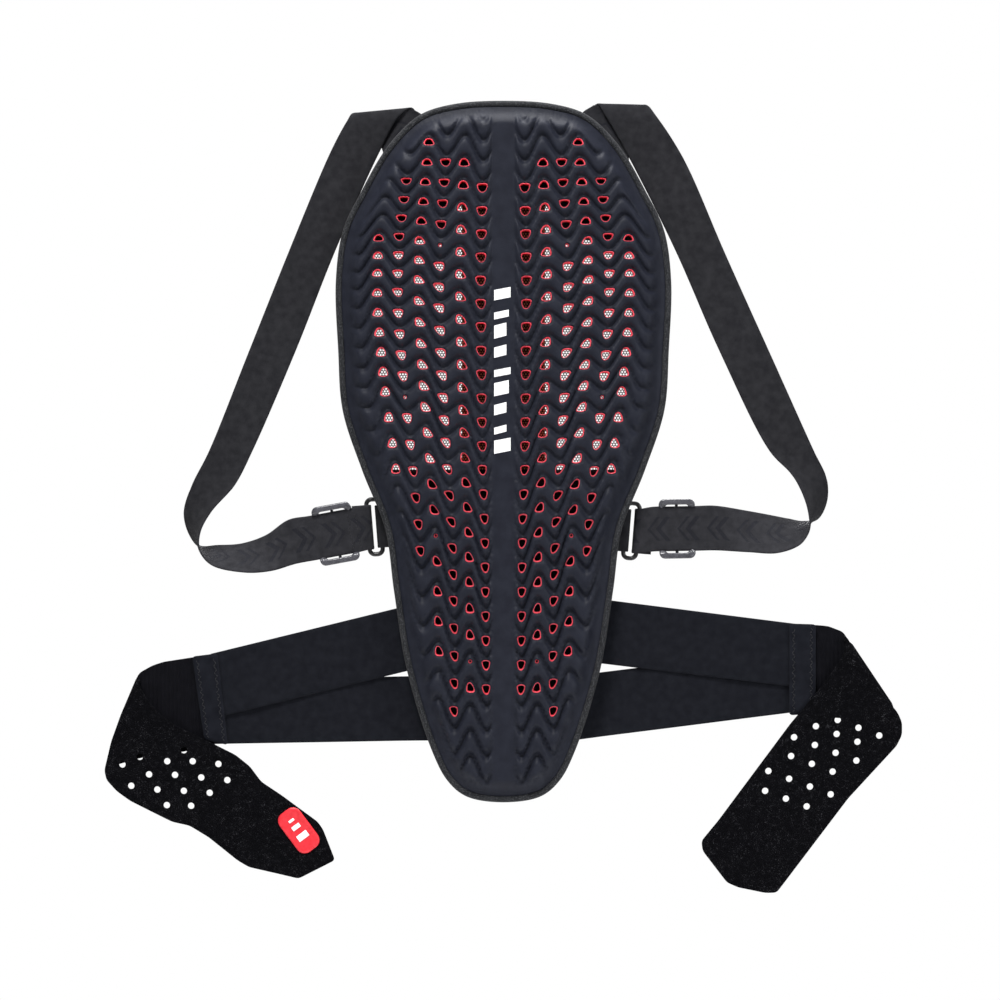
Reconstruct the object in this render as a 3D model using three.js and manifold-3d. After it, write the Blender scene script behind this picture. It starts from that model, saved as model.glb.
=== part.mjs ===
// A motorcycle back protector: a perforated foam plate on a lined backing, two elastic
// shoulder loops with adjusters, and a two-band kidney belt with folded closure tabs.
// Millimetres. +X is to the right as seen from outside, +Y points at the wearer, +Z is up.
// The origin is on the flat rear face of the spine liner.
import * as THREE from "three";
import { mergeVertices } from "three/addons/utils/BufferGeometryUtils.js";
import Module from "manifold-3d";

const wasm = await Module();
wasm.setup();

// Pad stack, as depths in front of the wearer's side.
const LINER_THICKNESS = 2.4;
const PANEL_THICKNESS = 1.4;
const MESH_THICKNESS = 2.0;
const CORE_THICKNESS = 9;
const CORE_EDGE_THICKNESS = 2.6;
const PLATE_THICKNESS = 4;
const PLATE_EDGE_THICKNESS = 2.4;
const LAYER_GAP = 0.4;
const PAD_INSET = 6.6;
const LINER_HALF_WIDTH = 32;
const FLAT_HALF_WIDTH = 34;
const PAD_HALF_WIDTH = 129.5;
const EDGE_SWEEP = 8;
const ROW_HEIGHT = 15;
const LAYER_COLUMNS = 8;
const RIM_POINTS = 96;
const RING_POINTS = 40;
const TUBE_SIDES = 8;

// Edge binding: half sizes of its section, in the pad's plane and across it.
const BINDING_HALF_WIDTH = 2.8;
const BINDING_HALF_DEPTH = 5.6;
const BINDING_DEPTH = -7;

// Webbing and hardware.
const STRAP_THICKNESS = 1.5;
const STRAP_WIDTH = 34.8;
const RING_HALF_SPACING = 5;
const RING_HALF_HEIGHT = 21.25;
const RING_CORNER = 4;
const RING_ROD_RADIUS = 1.75;
const RING_DEPTH = 9.5;
const RING_LEAN = THREE.MathUtils.degToRad(4.5);
const WRAP_RADIUS = 2.9;
const TAB_THICKNESS = 1.6;
const TAB_CLEARANCE = 0.5;
const TAB_HEIGHT = 33;
const TAB_REACH = 32;
const SLIDER_HEIGHT = 46;
const SLIDER_BAR = 5;
const SLIDER_RAIL = 4.4;
const SLIDER_CORNER = 3;
const SLIDER_FRONT = 3;
const SLIDER_THICKNESS = 2.1;
const SLIDER_BACK = 12;
const BAR_RADIUS = 1.2;
const BAR_DEPTH = 10.8;
const END_THICKNESS = 1.4;
const END_REACH = 12;

// Belt depths.
const UPPER_BAND_DEPTH = 5.5;
const LOWER_BAND_DEPTH = 7.9;
const BAND_THICKNESS = 1.4;
const BELT_HINGE_X = 86;
const HINGE_GAP = 3;
const ANCHOR_X = 45;
const ANCHOR_RISE = 4;
const BAND_TIP_X = 226;
const JOIN_BACK = 4.2;
const JOIN_THICKNESS = 1.6;
const WING_BACK = 6.8;
const WING_THICKNESS = 2;
const TAB_BACK = 0.8;
const CLOSURE_THICKNESS = 2.4;
const HOOK_BACK = 2.1;
const BADGE_THICKNESS = 1.5;
const HOLE_RADIUS = 2.5;
const HOLE_SIDES = 10;
const HOLE_STEP_X = 16;
const HOLE_STEP_Z = -6;

// Half of the pad's outline, from its lowest point up its right side to its highest point.
const OUTLINE = [
  [0, -269.5],
  [28.5, -265],
  [43, -253],
  [55, -230],
  [74.3, -168],
  [84.3, -107],
  [91, -60],
  [109, -14],
  [124, 32],
  [127.4, 78],
  [129.2, 132],
  [123.6, 170.6],
  [109, 201],
  [91, 232],
  [72, 253],
  [58.5, 261.4],
  [33, 267.6],
  [0, 269.3],
];

// Colours, roughness and metalness of each kind of material.
const FINISH = {
  foam: [0x1b1e27, 0.62, 0],
  core: [0x8f1518, 0.7, 0],
  netting: [0x101114, 0.85, 0],
  liner: [0x15161a, 0.9, 0],
  binding: [0x3c3e43, 0.9, 0],
  elastic: [0x1a1b1f, 0.85, 0],
  metal: [0x0d0d0f, 0.4, 0.6],
  plastic: [0x141518, 0.3, 0],
  pile: [0x121317, 0.95, 0],
  badge: [0xa5141a, 0.45, 0],
};

const protector = new THREE.Group();
const sides = { left: new THREE.Group(), right: new THREE.Group() };
sides.left.scale.x = -1;
protector.add(sides.left, sides.right);

function add(name, finish, geometry, parent = protector) {
  const [color, roughness, metalness] = FINISH[finish];
  const mesh = new THREE.Mesh(
    geometry,
    new THREE.MeshStandardMaterial({ color, roughness, metalness }),
  );
  mesh.name = name;
  parent.add(mesh);
}

const vec = (x, y, z) => new THREE.Vector3(x, y, z);

// Every vertex of a geometry moved by a function of its own place.
function warp(geometry, place) {
  const position = geometry.attributes.position;
  for (let i = 0; i < position.count; i++) {
    const p = place(position.getX(i), position.getY(i), position.getZ(i));
    position.setXYZ(i, p.x, p.y, p.z);
  }
  return geometry;
}

// A solid ring that follows closed points in the X-Z plane, anticlockwise from outside.
function closedTube(points, halfWidth, halfDepth, depthAt) {
  const count = points.length;
  const torus = new THREE.TorusGeometry(2, 1, TUBE_SIDES, count);
  return warp(torus, (x, y, z) => {
    const turn = (Math.atan2(y, x) / (2 * Math.PI) + 1) * count;
    const i = Math.round(turn) % count;
    const here = points[i];
    const along = points[(i + 1) % count].clone().sub(points[(i + count - 1) % count]).normalize();
    const out = (Math.hypot(x, y) - 2) * halfWidth;
    return vec(here.x + along.y * out, depthAt(here.x) - z * halfDepth, here.y - along.x * out);
  });
}

// A strap through pairs of edge points, with its thickness across them.
function ribbon(edges, thickness, stepsPerSpan) {
  const steps = (edges.length - 1) * stepsPerSpan;
  const sideA = new THREE.CatmullRomCurve3(edges.map(([a]) => a));
  const sideB = new THREE.CatmullRomCurve3(edges.map(([, b]) => b));
  const middle = (t) => sideA.getPoint(t).add(sideB.getPoint(t)).multiplyScalar(0.5);
  const strip = new THREE.BoxGeometry(1, 1, 1, 1, steps, 1);
  return warp(strip, (x, y, z) => {
    const t = THREE.MathUtils.clamp(y + 0.5, 0, 1);
    const a = sideA.getPoint(t);
    const b = sideB.getPoint(t);
    const before = middle(Math.max(t - 0.3 / steps, 0));
    const after = middle(Math.min(t + 0.3 / steps, 1));
    const normal = b.clone().sub(a).cross(after.sub(before)).normalize();
    return a.lerp(b, x + 0.5).addScaledVector(normal, z * thickness);
  });
}

// A flat piece cut to an outline of [x, z] points, its back face at a given depth.
function flatPiece(points, thickness, back, holes = []) {
  const shape = new THREE.Shape(points.map(([x, z]) => new THREE.Vector2(x, z)));
  for (const [x, z] of holes) {
    const hole = new THREE.Path();
    hole.absarc(x, z, HOLE_RADIUS, 0, 2 * Math.PI, true);
    shape.holes.push(hole);
  }
  const geometry = new THREE.ExtrudeGeometry(shape, {
    depth: thickness,
    bevelEnabled: false,
    curveSegments: HOLE_SIDES / 2,
  });
  return warp(geometry, (x, y, z) => vec(x, back - z, y));
}

function toSolid(geometry) {
  const plain = geometry.clone();
  plain.deleteAttribute("normal");
  plain.deleteAttribute("uv");
  const merged = mergeVertices(plain, 1e-4);
  return new wasm.Manifold(
    new wasm.Mesh({
      numProp: 3,
      vertProperties: merged.attributes.position.array,
      triVerts: new Uint32Array(merged.index.array),
    }),
  );
}

function joined(geometries) {
  const solid = geometries.map(toSolid).reduce((sum, next) => sum.add(next));
  const mesh = solid.getMesh();
  return new THREE.BufferGeometry()
    .setAttribute("position", new THREE.BufferAttribute(mesh.vertProperties, 3))
    .setIndex(new THREE.BufferAttribute(mesh.triVerts, 1));
}

// ---- Pad ----

const rightSide = OUTLINE.map(([x, z]) => vec(x, z, 0));
const leftSide = OUTLINE.slice(1, -1).reverse().map(([x, z]) => vec(-x, z, 0));
const outline = new THREE.CatmullRomCurve3([...rightSide, ...leftSide], true);

// How far the pad's surface is swept towards the wearer at a distance from the spine.
function sweep(x) {
  const past = Math.max(Math.abs(x) - FLAT_HALF_WIDTH, 0);
  return EDGE_SWEEP * (past / (PAD_HALF_WIDTH - FLAT_HALF_WIDTH)) ** 2;
}

// The pad's outline moved inwards, as half width against height.
function insetProfile(inset) {
  const profile = [];
  for (const u of Array.from({ length: 181 }, (_, i) => (i / 180) * 0.5)) {
    const p = outline.getPointAt(u);
    const along = outline.getTangentAt(u);
    profile.push({ half: p.x - along.y * inset, z: p.y + along.x * inset });
  }
  return profile;
}

function halfWidthAt(profile, z) {
  const above = profile.findIndex((p) => p.z >= z);
  const high = profile[Math.max(above, 1)];
  const low = profile[Math.max(above, 1) - 1];
  return THREE.MathUtils.mapLinear(z, low.z, high.z, low.half, high.half);
}

// A layer of the pad between two heights. The edge depths are those at its rim.
function layer({ low, high, front, back, edge = [front, back], limit = Infinity, drop = 0 }) {
  const profile = insetProfile(PAD_INSET);
  const rows = Math.ceil((high - low) / ROW_HEIGHT);
  const columns = limit < Infinity ? 2 : LAYER_COLUMNS;
  const box = new THREE.BoxGeometry(2, 2, 2, columns, rows, 1);
  return warp(box, (x, y, z) => {
    const u = Math.sin((x * Math.PI) / 2);
    const v = Math.sin((y * Math.PI) / 2);
    const height = (low + high) / 2 + ((high - low) / 2) * v;
    const half = Math.min(halfWidthAt(profile, height), limit);
    const crown = (1 - u ** 8) * (1 - v ** 16);
    const [rim, middle] = z > 0 ? [edge[0], front] : [edge[1], back];
    const face = THREE.MathUtils.lerp(rim, middle, crown);
    return vec(u * half, face + sweep(u * half), height - drop * u * u * ((1 - v) / 2));
  });
}

const PAD_LOW = -261.5;
const PAD_HIGH = 261.5;
const panelBack = -LINER_THICKNESS - LAYER_GAP;
const meshBack = panelBack - PANEL_THICKNESS - LAYER_GAP;
const coreBack = meshBack - MESH_THICKNESS - LAYER_GAP;
const plateBack = coreBack - CORE_THICKNESS - LAYER_GAP;

function addPad() {
  const whole = { low: PAD_LOW, high: PAD_HIGH };
  const panel = { back: panelBack, front: panelBack - PANEL_THICKNESS };
  const coreRim = coreBack - CORE_EDGE_THICKNESS;
  const core = { back: coreBack, front: coreBack - CORE_THICKNESS, edge: [coreRim, coreBack] };
  const plateRim = coreRim - LAYER_GAP;
  const plateEdge = [plateRim - PLATE_EDGE_THICKNESS, plateRim];
  const plate = { back: plateBack, front: plateBack - PLATE_THICKNESS, edge: plateEdge };
  const liner = { low: -232, high: 224, limit: LINER_HALF_WIDTH };
  add("outer_plate", "foam", layer({ ...whole, ...plate }));
  add("impact_core", "core", layer({ ...whole, ...core }));
  add("spacer_mesh", "netting", layer({ ...whole, back: meshBack, front: meshBack - MESH_THICKNESS }));
  add("yoke_panel", "liner", layer({ ...panel, low: 190, high: PAD_HIGH, drop: 30 }));
  add("lumbar_panel", "liner", layer({ ...panel, low: PAD_LOW, high: -14 }));
  add("spine_liner", "liner", layer({ ...liner, back: 0, front: -LINER_THICKNESS }));
  const rim = outline.getSpacedPoints(RIM_POINTS).slice(0, -1);
  const centre = rim.map((p, i) => {
    const along = outline.getTangentAt(i / rim.length);
    return new THREE.Vector2(p.x - along.y * BINDING_HALF_WIDTH, p.y + along.x * BINDING_HALF_WIDTH);
  });
  const depthAt = (x) => BINDING_DEPTH + sweep(x);
  const binding = closedTube(centre, BINDING_HALF_WIDTH, BINDING_HALF_DEPTH, depthAt);
  add("edge_binding", "binding", binding);
}

// ---- Shoulder loops ----
// Both sides are written for the right-hand side; the left group mirrors them.
// A pair is an outboard (or upper) edge point and an inboard (or lower) edge point.

const LOOPS = {
  left: {
    ring: { x: 99.7, z: -58 },
    run: { x: 104, z: -58.6, angle: THREE.MathUtils.degToRad(-10.5) },
    slider: { reach: 26, length: 31 },
    tail: [
      [92, 196, 57, 203, 3],
      [101, 223, 65, 229, 9.8],
      [114, 253, 76, 256, 10.6],
    ],
    descent: [
      [119, 7.2, 258, 73, 7.2, 265],
      [133.6, 8, 232, 96.6, 8, 232],
      [165.9, 8.5, 155, 130, 8.5, 155],
      [196.7, 8.5, 78, 160.5, 8.5, 78],
      [227.5, 9, 1, 193.7, 8, 1],
      [241.4, 12, -30, 211.4, 4, -33],
      [247, 19, -50, 226, -5, -56],
      [241, 25, -72, 236, -8, -78],
      [222, 17, -68, 220, -4, -91],
    ],
  },
  right: {
    ring: { x: 98.9, z: -61 },
    run: { x: 103.5, z: -60, angle: THREE.MathUtils.degToRad(1) },
    slider: { reach: 30.5, length: 28 },
    tail: [
      [92, 196, 57, 203, 3],
      [101, 223, 65, 229, 9.8],
      [113, 254, 74, 257, 10.6],
    ],
    descent: [
      [121, 7.2, 259, 69, 7.2, 267],
      [139, 8, 227, 100, 8, 227],
      [170.6, 8.5, 155, 133, 8.5, 155],
      [205.2, 8.5, 78, 166.7, 8.5, 78],
      [239.9, 9, 1, 205.2, 8, 1],
      [249, 12, -27, 224, 4, -31],
      [247, 20, -46, 231, -5, -52],
      [239, 25, -64, 234, -8, -70],
      [220, 17, -54, 219, -4, -80],
    ],
  },
};

const leanUp = vec(Math.sin(RING_LEAN), 0, Math.cos(RING_LEAN));
const leanOut = vec(Math.cos(RING_LEAN), 0, -Math.sin(RING_LEAN));

// Edge points half a strap's width either side of a centre.
function pairAcross(centre, up) {
  const half = STRAP_WIDTH / 2;
  return [centre.clone().addScaledVector(up, half), centre.clone().addScaledVector(up, -half)];
}

function addLoop(name, { ring, run, slider, tail, descent }) {
  const group = sides[name];
  const along = vec(Math.cos(run.angle), 0, Math.sin(run.angle));
  const up = vec(-Math.sin(run.angle), 0, Math.cos(run.angle));
  const runDepth = RING_DEPTH - WRAP_RADIUS;
  const runPair = (distance) =>
    pairAcross(vec(run.x, runDepth, run.z).addScaledVector(along, distance), up);
  const bar = vec(ring.x, RING_DEPTH, ring.z).addScaledVector(leanOut, RING_HALF_SPACING);
  const wrapPair = (degrees, reach = 0) => {
    const turn = THREE.MathUtils.degToRad(degrees);
    const centre = bar.clone().addScaledVector(leanOut, reach - WRAP_RADIUS * Math.cos(turn));
    centre.y += WRAP_RADIUS * Math.sin(turn);
    return pairAcross(centre, leanUp);
  };
  const strap = [
    ...descent.map(([ax, ay, az, bx, by, bz]) => [vec(ax, ay, az), vec(bx, by, bz)]),
    ...[76, 62, 44, 26, 12].map(runPair),
    ...[-90, -45, 0, 45, 90].map((degrees) => wrapPair(degrees)),
    wrapPair(90, 6),
    wrapPair(90, 11.5),
  ];
  add("shoulder_strap_" + name, "elastic", ribbon(strap, STRAP_THICKNESS, 3), group);

  const tailPairs = tail.map(([ax, az, bx, bz, depth]) => [vec(ax, depth, az), vec(bx, depth, bz)]);
  add("strap_tail_" + name, "elastic", ribbon(tailPairs, STRAP_THICKNESS, 4), group);
  addRing(name, ring);
  addSlider(name, run, slider);
}

function roundedRectangle(halfWidth, halfHeight, corner) {
  const shape = new THREE.Shape();
  shape.moveTo(halfWidth, -halfHeight + corner);
  shape.absarc(halfWidth - corner, halfHeight - corner, corner, 0, Math.PI / 2);
  shape.absarc(-halfWidth + corner, halfHeight - corner, corner, Math.PI / 2, Math.PI);
  shape.absarc(-halfWidth + corner, -halfHeight + corner, corner, Math.PI, 1.5 * Math.PI);
  shape.absarc(halfWidth - corner, -halfHeight + corner, corner, 1.5 * Math.PI, 2 * Math.PI);
  return shape;
}

// An eye of webbing round a bar on the Z axis, with a flat tail that leaves along -X.
function webbingEye(inner, thickness, reach, height) {
  const outer = inner + thickness;
  const profile = new THREE.Shape();
  profile.moveTo(-reach, -outer);
  profile.absarc(0, 0, outer, -0.5 * Math.PI, 1.14 * Math.PI);
  profile.lineTo(-outer - 2, -inner);
  profile.lineTo(-reach, -inner);
  profile.closePath();
  const eye = new THREE.Path();
  eye.absarc(0, 0, inner, 0, 2 * Math.PI, true);
  profile.holes.push(eye);
  const options = { depth: height, bevelEnabled: false, curveSegments: 16 };
  return new THREE.ExtrudeGeometry(profile, options).translate(0, 0, -height / 2);
}

function addRing(name, ring) {
  const shape = roundedRectangle(RING_HALF_SPACING, RING_HALF_HEIGHT, RING_CORNER);
  const points = shape.getSpacedPoints(RING_POINTS).slice(0, -1);
  const tube = closedTube(points, RING_ROD_RADIUS, RING_ROD_RADIUS, () => 0);
  tube.rotateY(RING_LEAN).translate(ring.x, RING_DEPTH, ring.z);
  add("strap_ring_" + name, "metal", tube, sides[name]);

  const inner = RING_ROD_RADIUS + TAB_CLEARANCE;
  const centre = vec(ring.x, RING_DEPTH, ring.z).addScaledVector(leanOut, -RING_HALF_SPACING);
  const tab = webbingEye(inner, TAB_THICKNESS, TAB_REACH, TAB_HEIGHT);
  tab.rotateY(RING_LEAN).translate(centre.x, centre.y, centre.z);
  add("ring_tab_" + name, "elastic", tab, sides[name]);
}

// A three-bar adjuster: two outer bars in front of the strap, and a middle bar behind it
// that holds the strap's sewn end.
function addSlider(name, run, { reach, length }) {
  const frame = roundedRectangle(length / 2, SLIDER_HEIGHT / 2, SLIDER_CORNER);
  const windowHalf = length / 2 - SLIDER_BAR;
  const railCentre = SLIDER_HEIGHT / 2 - SLIDER_RAIL / 2;
  frame.holes.push(roundedRectangle(windowHalf, railCentre - SLIDER_RAIL / 2, 2));
  const railDepth = SLIDER_BACK - SLIDER_FRONT;
  const rail = (z) =>
    new THREE.BoxGeometry(length * 0.6, railDepth, SLIDER_RAIL)
      .translate(0, SLIDER_FRONT + railDepth / 2, z);
  const front = new THREE.ExtrudeGeometry(frame, {
    depth: SLIDER_THICKNESS,
    bevelEnabled: false,
    curveSegments: 5,
  });
  warp(front, (x, y, z) => vec(x, SLIDER_FRONT + SLIDER_THICKNESS - z, y));
  const bar = new THREE.CylinderGeometry(BAR_RADIUS, BAR_RADIUS, SLIDER_HEIGHT - 2, 12);
  bar.rotateX(Math.PI / 2).translate(0, BAR_DEPTH, 0);
  const body = joined([front, rail(railCentre), rail(-railCentre), bar]);
  const end = webbingEye(BAR_RADIUS + TAB_CLEARANCE, END_THICKNESS, END_REACH, TAB_HEIGHT);
  end.rotateX(Math.PI).translate(0, BAR_DEPTH, 0);
  const x = run.x + reach * Math.cos(run.angle);
  const z = run.z + reach * Math.sin(run.angle);
  for (const piece of [body, end]) piece.rotateY(-run.angle).translate(x, 0, z);
  add("strap_slider_" + name, "plastic", body, sides[name]);
  add("strap_end_" + name, "elastic", end, sides[name]);
}

// ---- Kidney belt ----
// Bands are given by the height of their top and bottom edges at the pad's edge and where
// they are sewn to the wing. Outlines are [x, z], outboard positive.

const BELTS = {
  left: {
    upper: { root: [-121.6, -172.3], tip: [-155.9, -206.6] },
    lower: { root: [-173.6, -223.6], tip: [-176.5, -226] },
    join: [
      [213, -227],
      [234, -223.5],
      [240.5, -155.5],
      [219.4, -152],
    ],
    wing: [
      [228, -222],
      [235, -222],
      [303.5, -243],
      [280.5, -172],
      [262, -162.5],
      [240, -158],
      [228, -156],
    ],
    closure: [
      [284, -174],
      [273, -198],
      [245.7, -215],
      [220.3, -225],
      [194.8, -242],
      [184.9, -256],
      [144, -285],
      [130.5, -315],
      [158.5, -329],
      [196.7, -320],
      [242, -287.6],
      [256.8, -285],
      [293, -266],
      [306.5, -246],
    ],
    holes: [
      [293.5, -241],
      [259, -238.5],
      [239.4, -238.5],
      [219.6, -240.6],
      [273, -248.6],
      [253, -249],
      [232.8, -251],
      [212.7, -253],
      [286.7, -257.4],
      [266.6, -260.3],
      [246.2, -261.3],
      [226.3, -262.8],
      [259.3, -272.3],
      [240.6, -272.8],
    ],
  },
  right: {
    upper: { root: [-115.1, -164.9], tip: [-132.8, -181.9] },
    lower: { root: [-169, -218.9], tip: [-151.7, -201.2] },
    join: [
      [219, -205],
      [241.5, -206],
      [241.5, -134],
      [219, -130.5],
    ],
    wing: [
      [228, -203],
      [240, -204],
      [302.5, -209.5],
      [262, -139.5],
      [241, -135.5],
      [228, -133.5],
    ],
    closure: [
      [263.5, -141],
      [260.6, -154],
      [246.8, -175],
      [220.3, -205],
      [152.8, -295.7],
      [151.3, -301.8],
      [172.6, -330.7],
      [207.9, -338],
      [211.4, -337],
      [292.8, -233.7],
      [304.8, -213],
    ],
    holes: rowsOfHoles([
      [204, -246, 4],
      [201.5, -261.3, 3],
      [221.5, -234.5, 3],
      [223.8, -220, 4],
      [240.6, -211.5, 3],
      [257.4, -206.7, 3],
    ]),
  },
};

// Ventilation holes in rows that all run the same way, as [first x, first z, how many].
function rowsOfHoles(rows) {
  return rows.flatMap(([x, z, count]) =>
    Array.from({ length: count }, (_, i) => [x + HOLE_STEP_X * i, z + HOLE_STEP_Z * i]),
  );
}

function addBand(name, level, { root, tip }, depth) {
  const pairAt = (x, [top, bottom], y) => [vec(x, y, top), vec(x, y, bottom)];
  const slope = (i) => (tip[i] - root[i]) / (BAND_TIP_X - BELT_HINGE_X);
  const inner = [0, 1].map((i) => root[i] + slope(i) * (ANCHOR_X - BELT_HINGE_X));
  const gapStart = BELT_HINGE_X - HINGE_GAP;
  const gapEnd = BELT_HINGE_X + HINGE_GAP;
  const anchor = [pairAt(ANCHOR_X, inner, depth - ANCHOR_RISE), pairAt(gapStart, root, depth)];
  const band = [pairAt(gapEnd, root, depth), pairAt(BAND_TIP_X, tip, depth)];
  add("belt_anchor_" + level + "_" + name, "elastic", ribbon(anchor, BAND_THICKNESS, 3), sides[name]);
  add("belt_band_" + level + "_" + name, "elastic", ribbon(band, BAND_THICKNESS, 6), sides[name]);
}

function addBelt(name, { upper, lower, join, wing, closure, holes }) {
  const group = sides[name];
  addBand(name, "upper", upper, UPPER_BAND_DEPTH);
  addBand(name, "lower", lower, LOWER_BAND_DEPTH);
  add("belt_join_" + name, "elastic", flatPiece(join, JOIN_THICKNESS, JOIN_BACK), group);
  add("wing_elastic_" + name, "elastic", flatPiece(wing, WING_THICKNESS, WING_BACK), group);
  const tab = flatPiece(closure, CLOSURE_THICKNESS, TAB_BACK, holes);
  add("closure_tab_" + name, "pile", tab, group);
}

// Hook patch on the hidden face of the right-hand closure tab.
const HOOK_OUTLINE = [
  [160, -300],
  [178, -325],
  [205, -330],
  [222, -308],
  [182, -272],
];

// Moulded pull badge on the left-hand tab's tip: centre, half sizes and tilt.
const BADGE = { x: 156.7, z: -291, half: [18, 11], corner: 8, tilt: 0.87 };

function addTrim() {
  const hook = flatPiece(HOOK_OUTLINE, 1, HOOK_BACK);
  add("hook_patch_right", "pile", hook, sides.right);
  const shape = roundedRectangle(BADGE.half[0], BADGE.half[1], BADGE.corner);
  const options = { depth: BADGE_THICKNESS, bevelEnabled: false, curveSegments: 6 };
  const badge = new THREE.ExtrudeGeometry(shape, options);
  warp(badge, (x, y, z) => vec(x, -z, y));
  badge.rotateY(-BADGE.tilt).translate(BADGE.x, TAB_BACK - CLOSURE_THICKNESS - 0.3, BADGE.z);
  add("tab_badge", "badge", badge, sides.left);
}

addPad();
for (const name of ["left", "right"]) {
  addLoop(name, LOOPS[name]);
  addBelt(name, BELTS[name]);
}
addTrim();

export default protector;
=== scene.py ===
"""A perforated back protector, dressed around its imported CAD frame. Metres, +Y at the wearer."""

import math

import bmesh
import bpy
import numpy as np
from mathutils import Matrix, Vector, kdtree, noise
from mathutils.geometry import delaunay_2d_cdt


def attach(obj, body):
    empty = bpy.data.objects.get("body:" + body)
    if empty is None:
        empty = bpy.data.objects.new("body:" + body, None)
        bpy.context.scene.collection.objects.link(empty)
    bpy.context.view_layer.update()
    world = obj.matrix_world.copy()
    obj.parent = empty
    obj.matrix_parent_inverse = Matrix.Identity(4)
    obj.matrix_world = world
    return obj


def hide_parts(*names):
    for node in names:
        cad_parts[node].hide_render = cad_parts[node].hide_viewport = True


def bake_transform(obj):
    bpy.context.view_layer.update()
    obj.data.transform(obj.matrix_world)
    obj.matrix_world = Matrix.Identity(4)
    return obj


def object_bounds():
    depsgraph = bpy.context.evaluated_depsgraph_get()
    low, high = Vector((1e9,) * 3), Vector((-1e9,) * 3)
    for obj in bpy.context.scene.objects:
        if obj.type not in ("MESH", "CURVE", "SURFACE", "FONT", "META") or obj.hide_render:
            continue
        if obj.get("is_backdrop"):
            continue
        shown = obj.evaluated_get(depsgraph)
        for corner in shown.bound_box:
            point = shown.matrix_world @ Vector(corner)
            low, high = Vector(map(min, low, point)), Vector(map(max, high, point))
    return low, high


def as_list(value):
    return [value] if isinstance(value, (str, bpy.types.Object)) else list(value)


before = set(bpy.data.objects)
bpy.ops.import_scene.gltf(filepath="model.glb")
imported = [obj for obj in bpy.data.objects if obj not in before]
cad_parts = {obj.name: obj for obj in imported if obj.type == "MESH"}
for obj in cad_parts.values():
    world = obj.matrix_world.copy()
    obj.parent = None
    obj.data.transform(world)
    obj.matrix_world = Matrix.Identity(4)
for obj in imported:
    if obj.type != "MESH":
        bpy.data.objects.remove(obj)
cad_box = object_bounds()

MM = 0.001
SIDES = {"left": -1, "right": 1}

# ---------------------------------------------------------------- design sizes (mm)

# Half of the pad's outline, from its lowest point up its right side to its highest.
OUTLINE = [
    (0, -269.5), (28.5, -265), (43, -253), (55, -230), (74.3, -168), (84.3, -107),
    (91, -60), (109, -14), (124, 32), (127.4, 78), (129.2, 132), (123.6, 170.6),
    (109, 201), (91, 232), (72, 253), (58.5, 261.4), (33, 267.6), (0, 269.3),
]
FLAT_HALF_WIDTH = 34
PAD_HALF_WIDTH = 129.5
EDGE_SWEEP = 8
PLATE_INSET = 5.2

# Depths at the spine; the sweep towards the wearer is added to them.
PANEL_BACK = -2.8
NET_DEPTH = -5.6
CORE_BACK = -7.0
CORE_FRONT = -16.0
CORE_EDGE_FRONT = -9.6
SKIN_GAP = 0.3
SPINE_FRONT = -19.4
GROOVE_FRONT = -18.3
RIB_HEIGHT = 3.5
LOW_GROOVE = 1.3
EDGE_FRONT = -11.4
CROWN_WIDTH = 13

# Perforation lattice: columns counted outwards from the spine, rows downwards.
# Heights of five rows in each column; columns 0 and 7 only shape the ribs.
LEVEL_ROWS = (0, 6, 12, 18, 22)
COLUMN_LEVELS = [
    (218.9, 117.3, 13.0, -100.6, -181.0),
    (201.6, 95.0, -14.3, -126.4, -200.8),
    (220.8, 118.2, 14.0, -100.1, -181.0),
    (205.5, 109.5, 6.5, -114.5, -198.8),
    (221.1, 131.2, 33.8, -84.2, -176.0),
    (206.7, 121.8, 25.4, -96.6, -185.9),
    (216.9, 136.5, 45.7, -72.8, -165.1),
    (199.0, 119.2, 28.4, -88.7, -180.0),
]
PITCH_ABOVE = 15.5
PITCH_BELOW = 19.5
FIRST_COLUMN = ((-182, 13.3), (-60, 14.3), (-13, 16.2), (60, 16.9), (130, 17.5), (204, 16.2), (238, 15.6))
COLUMN_PITCH = (
    (-199, 12.3), (-153, 12.0), (-74, 12.4), (-12, 13.3), (47, 14.8), (78, 15.4), (109, 15.85),
    (137, 15.85), (165, 15.75), (194, 14.9), (209, 14.5), (238, 13.8),
)
COLUMN_ROWS = {1: (0, 21), 2: (0, 22), 3: (-1, 22), 4: (-1, 21), 5: (0, 17), 6: (4, 15)}
PINHOLES = {(2, 21), (3, 3), (4, 17), (5, 11)}
LEAN_BY_COLUMN = {1: 0.1, 2: 0.3, 3: 0.38, 4: 0.4, 5: 0.2, 6: 0.0}


def smooth(t):
    t = np.clip(t, 0, 1)
    return t * t * (3 - 2 * t)


def sweep(x):
    past = np.maximum(np.abs(x) - FLAT_HALF_WIDTH, 0)
    return EDGE_SWEEP * (past / (PAD_HALF_WIDTH - FLAT_HALF_WIDTH)) ** 2


# ---------------------------------------------------------------- curves

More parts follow.
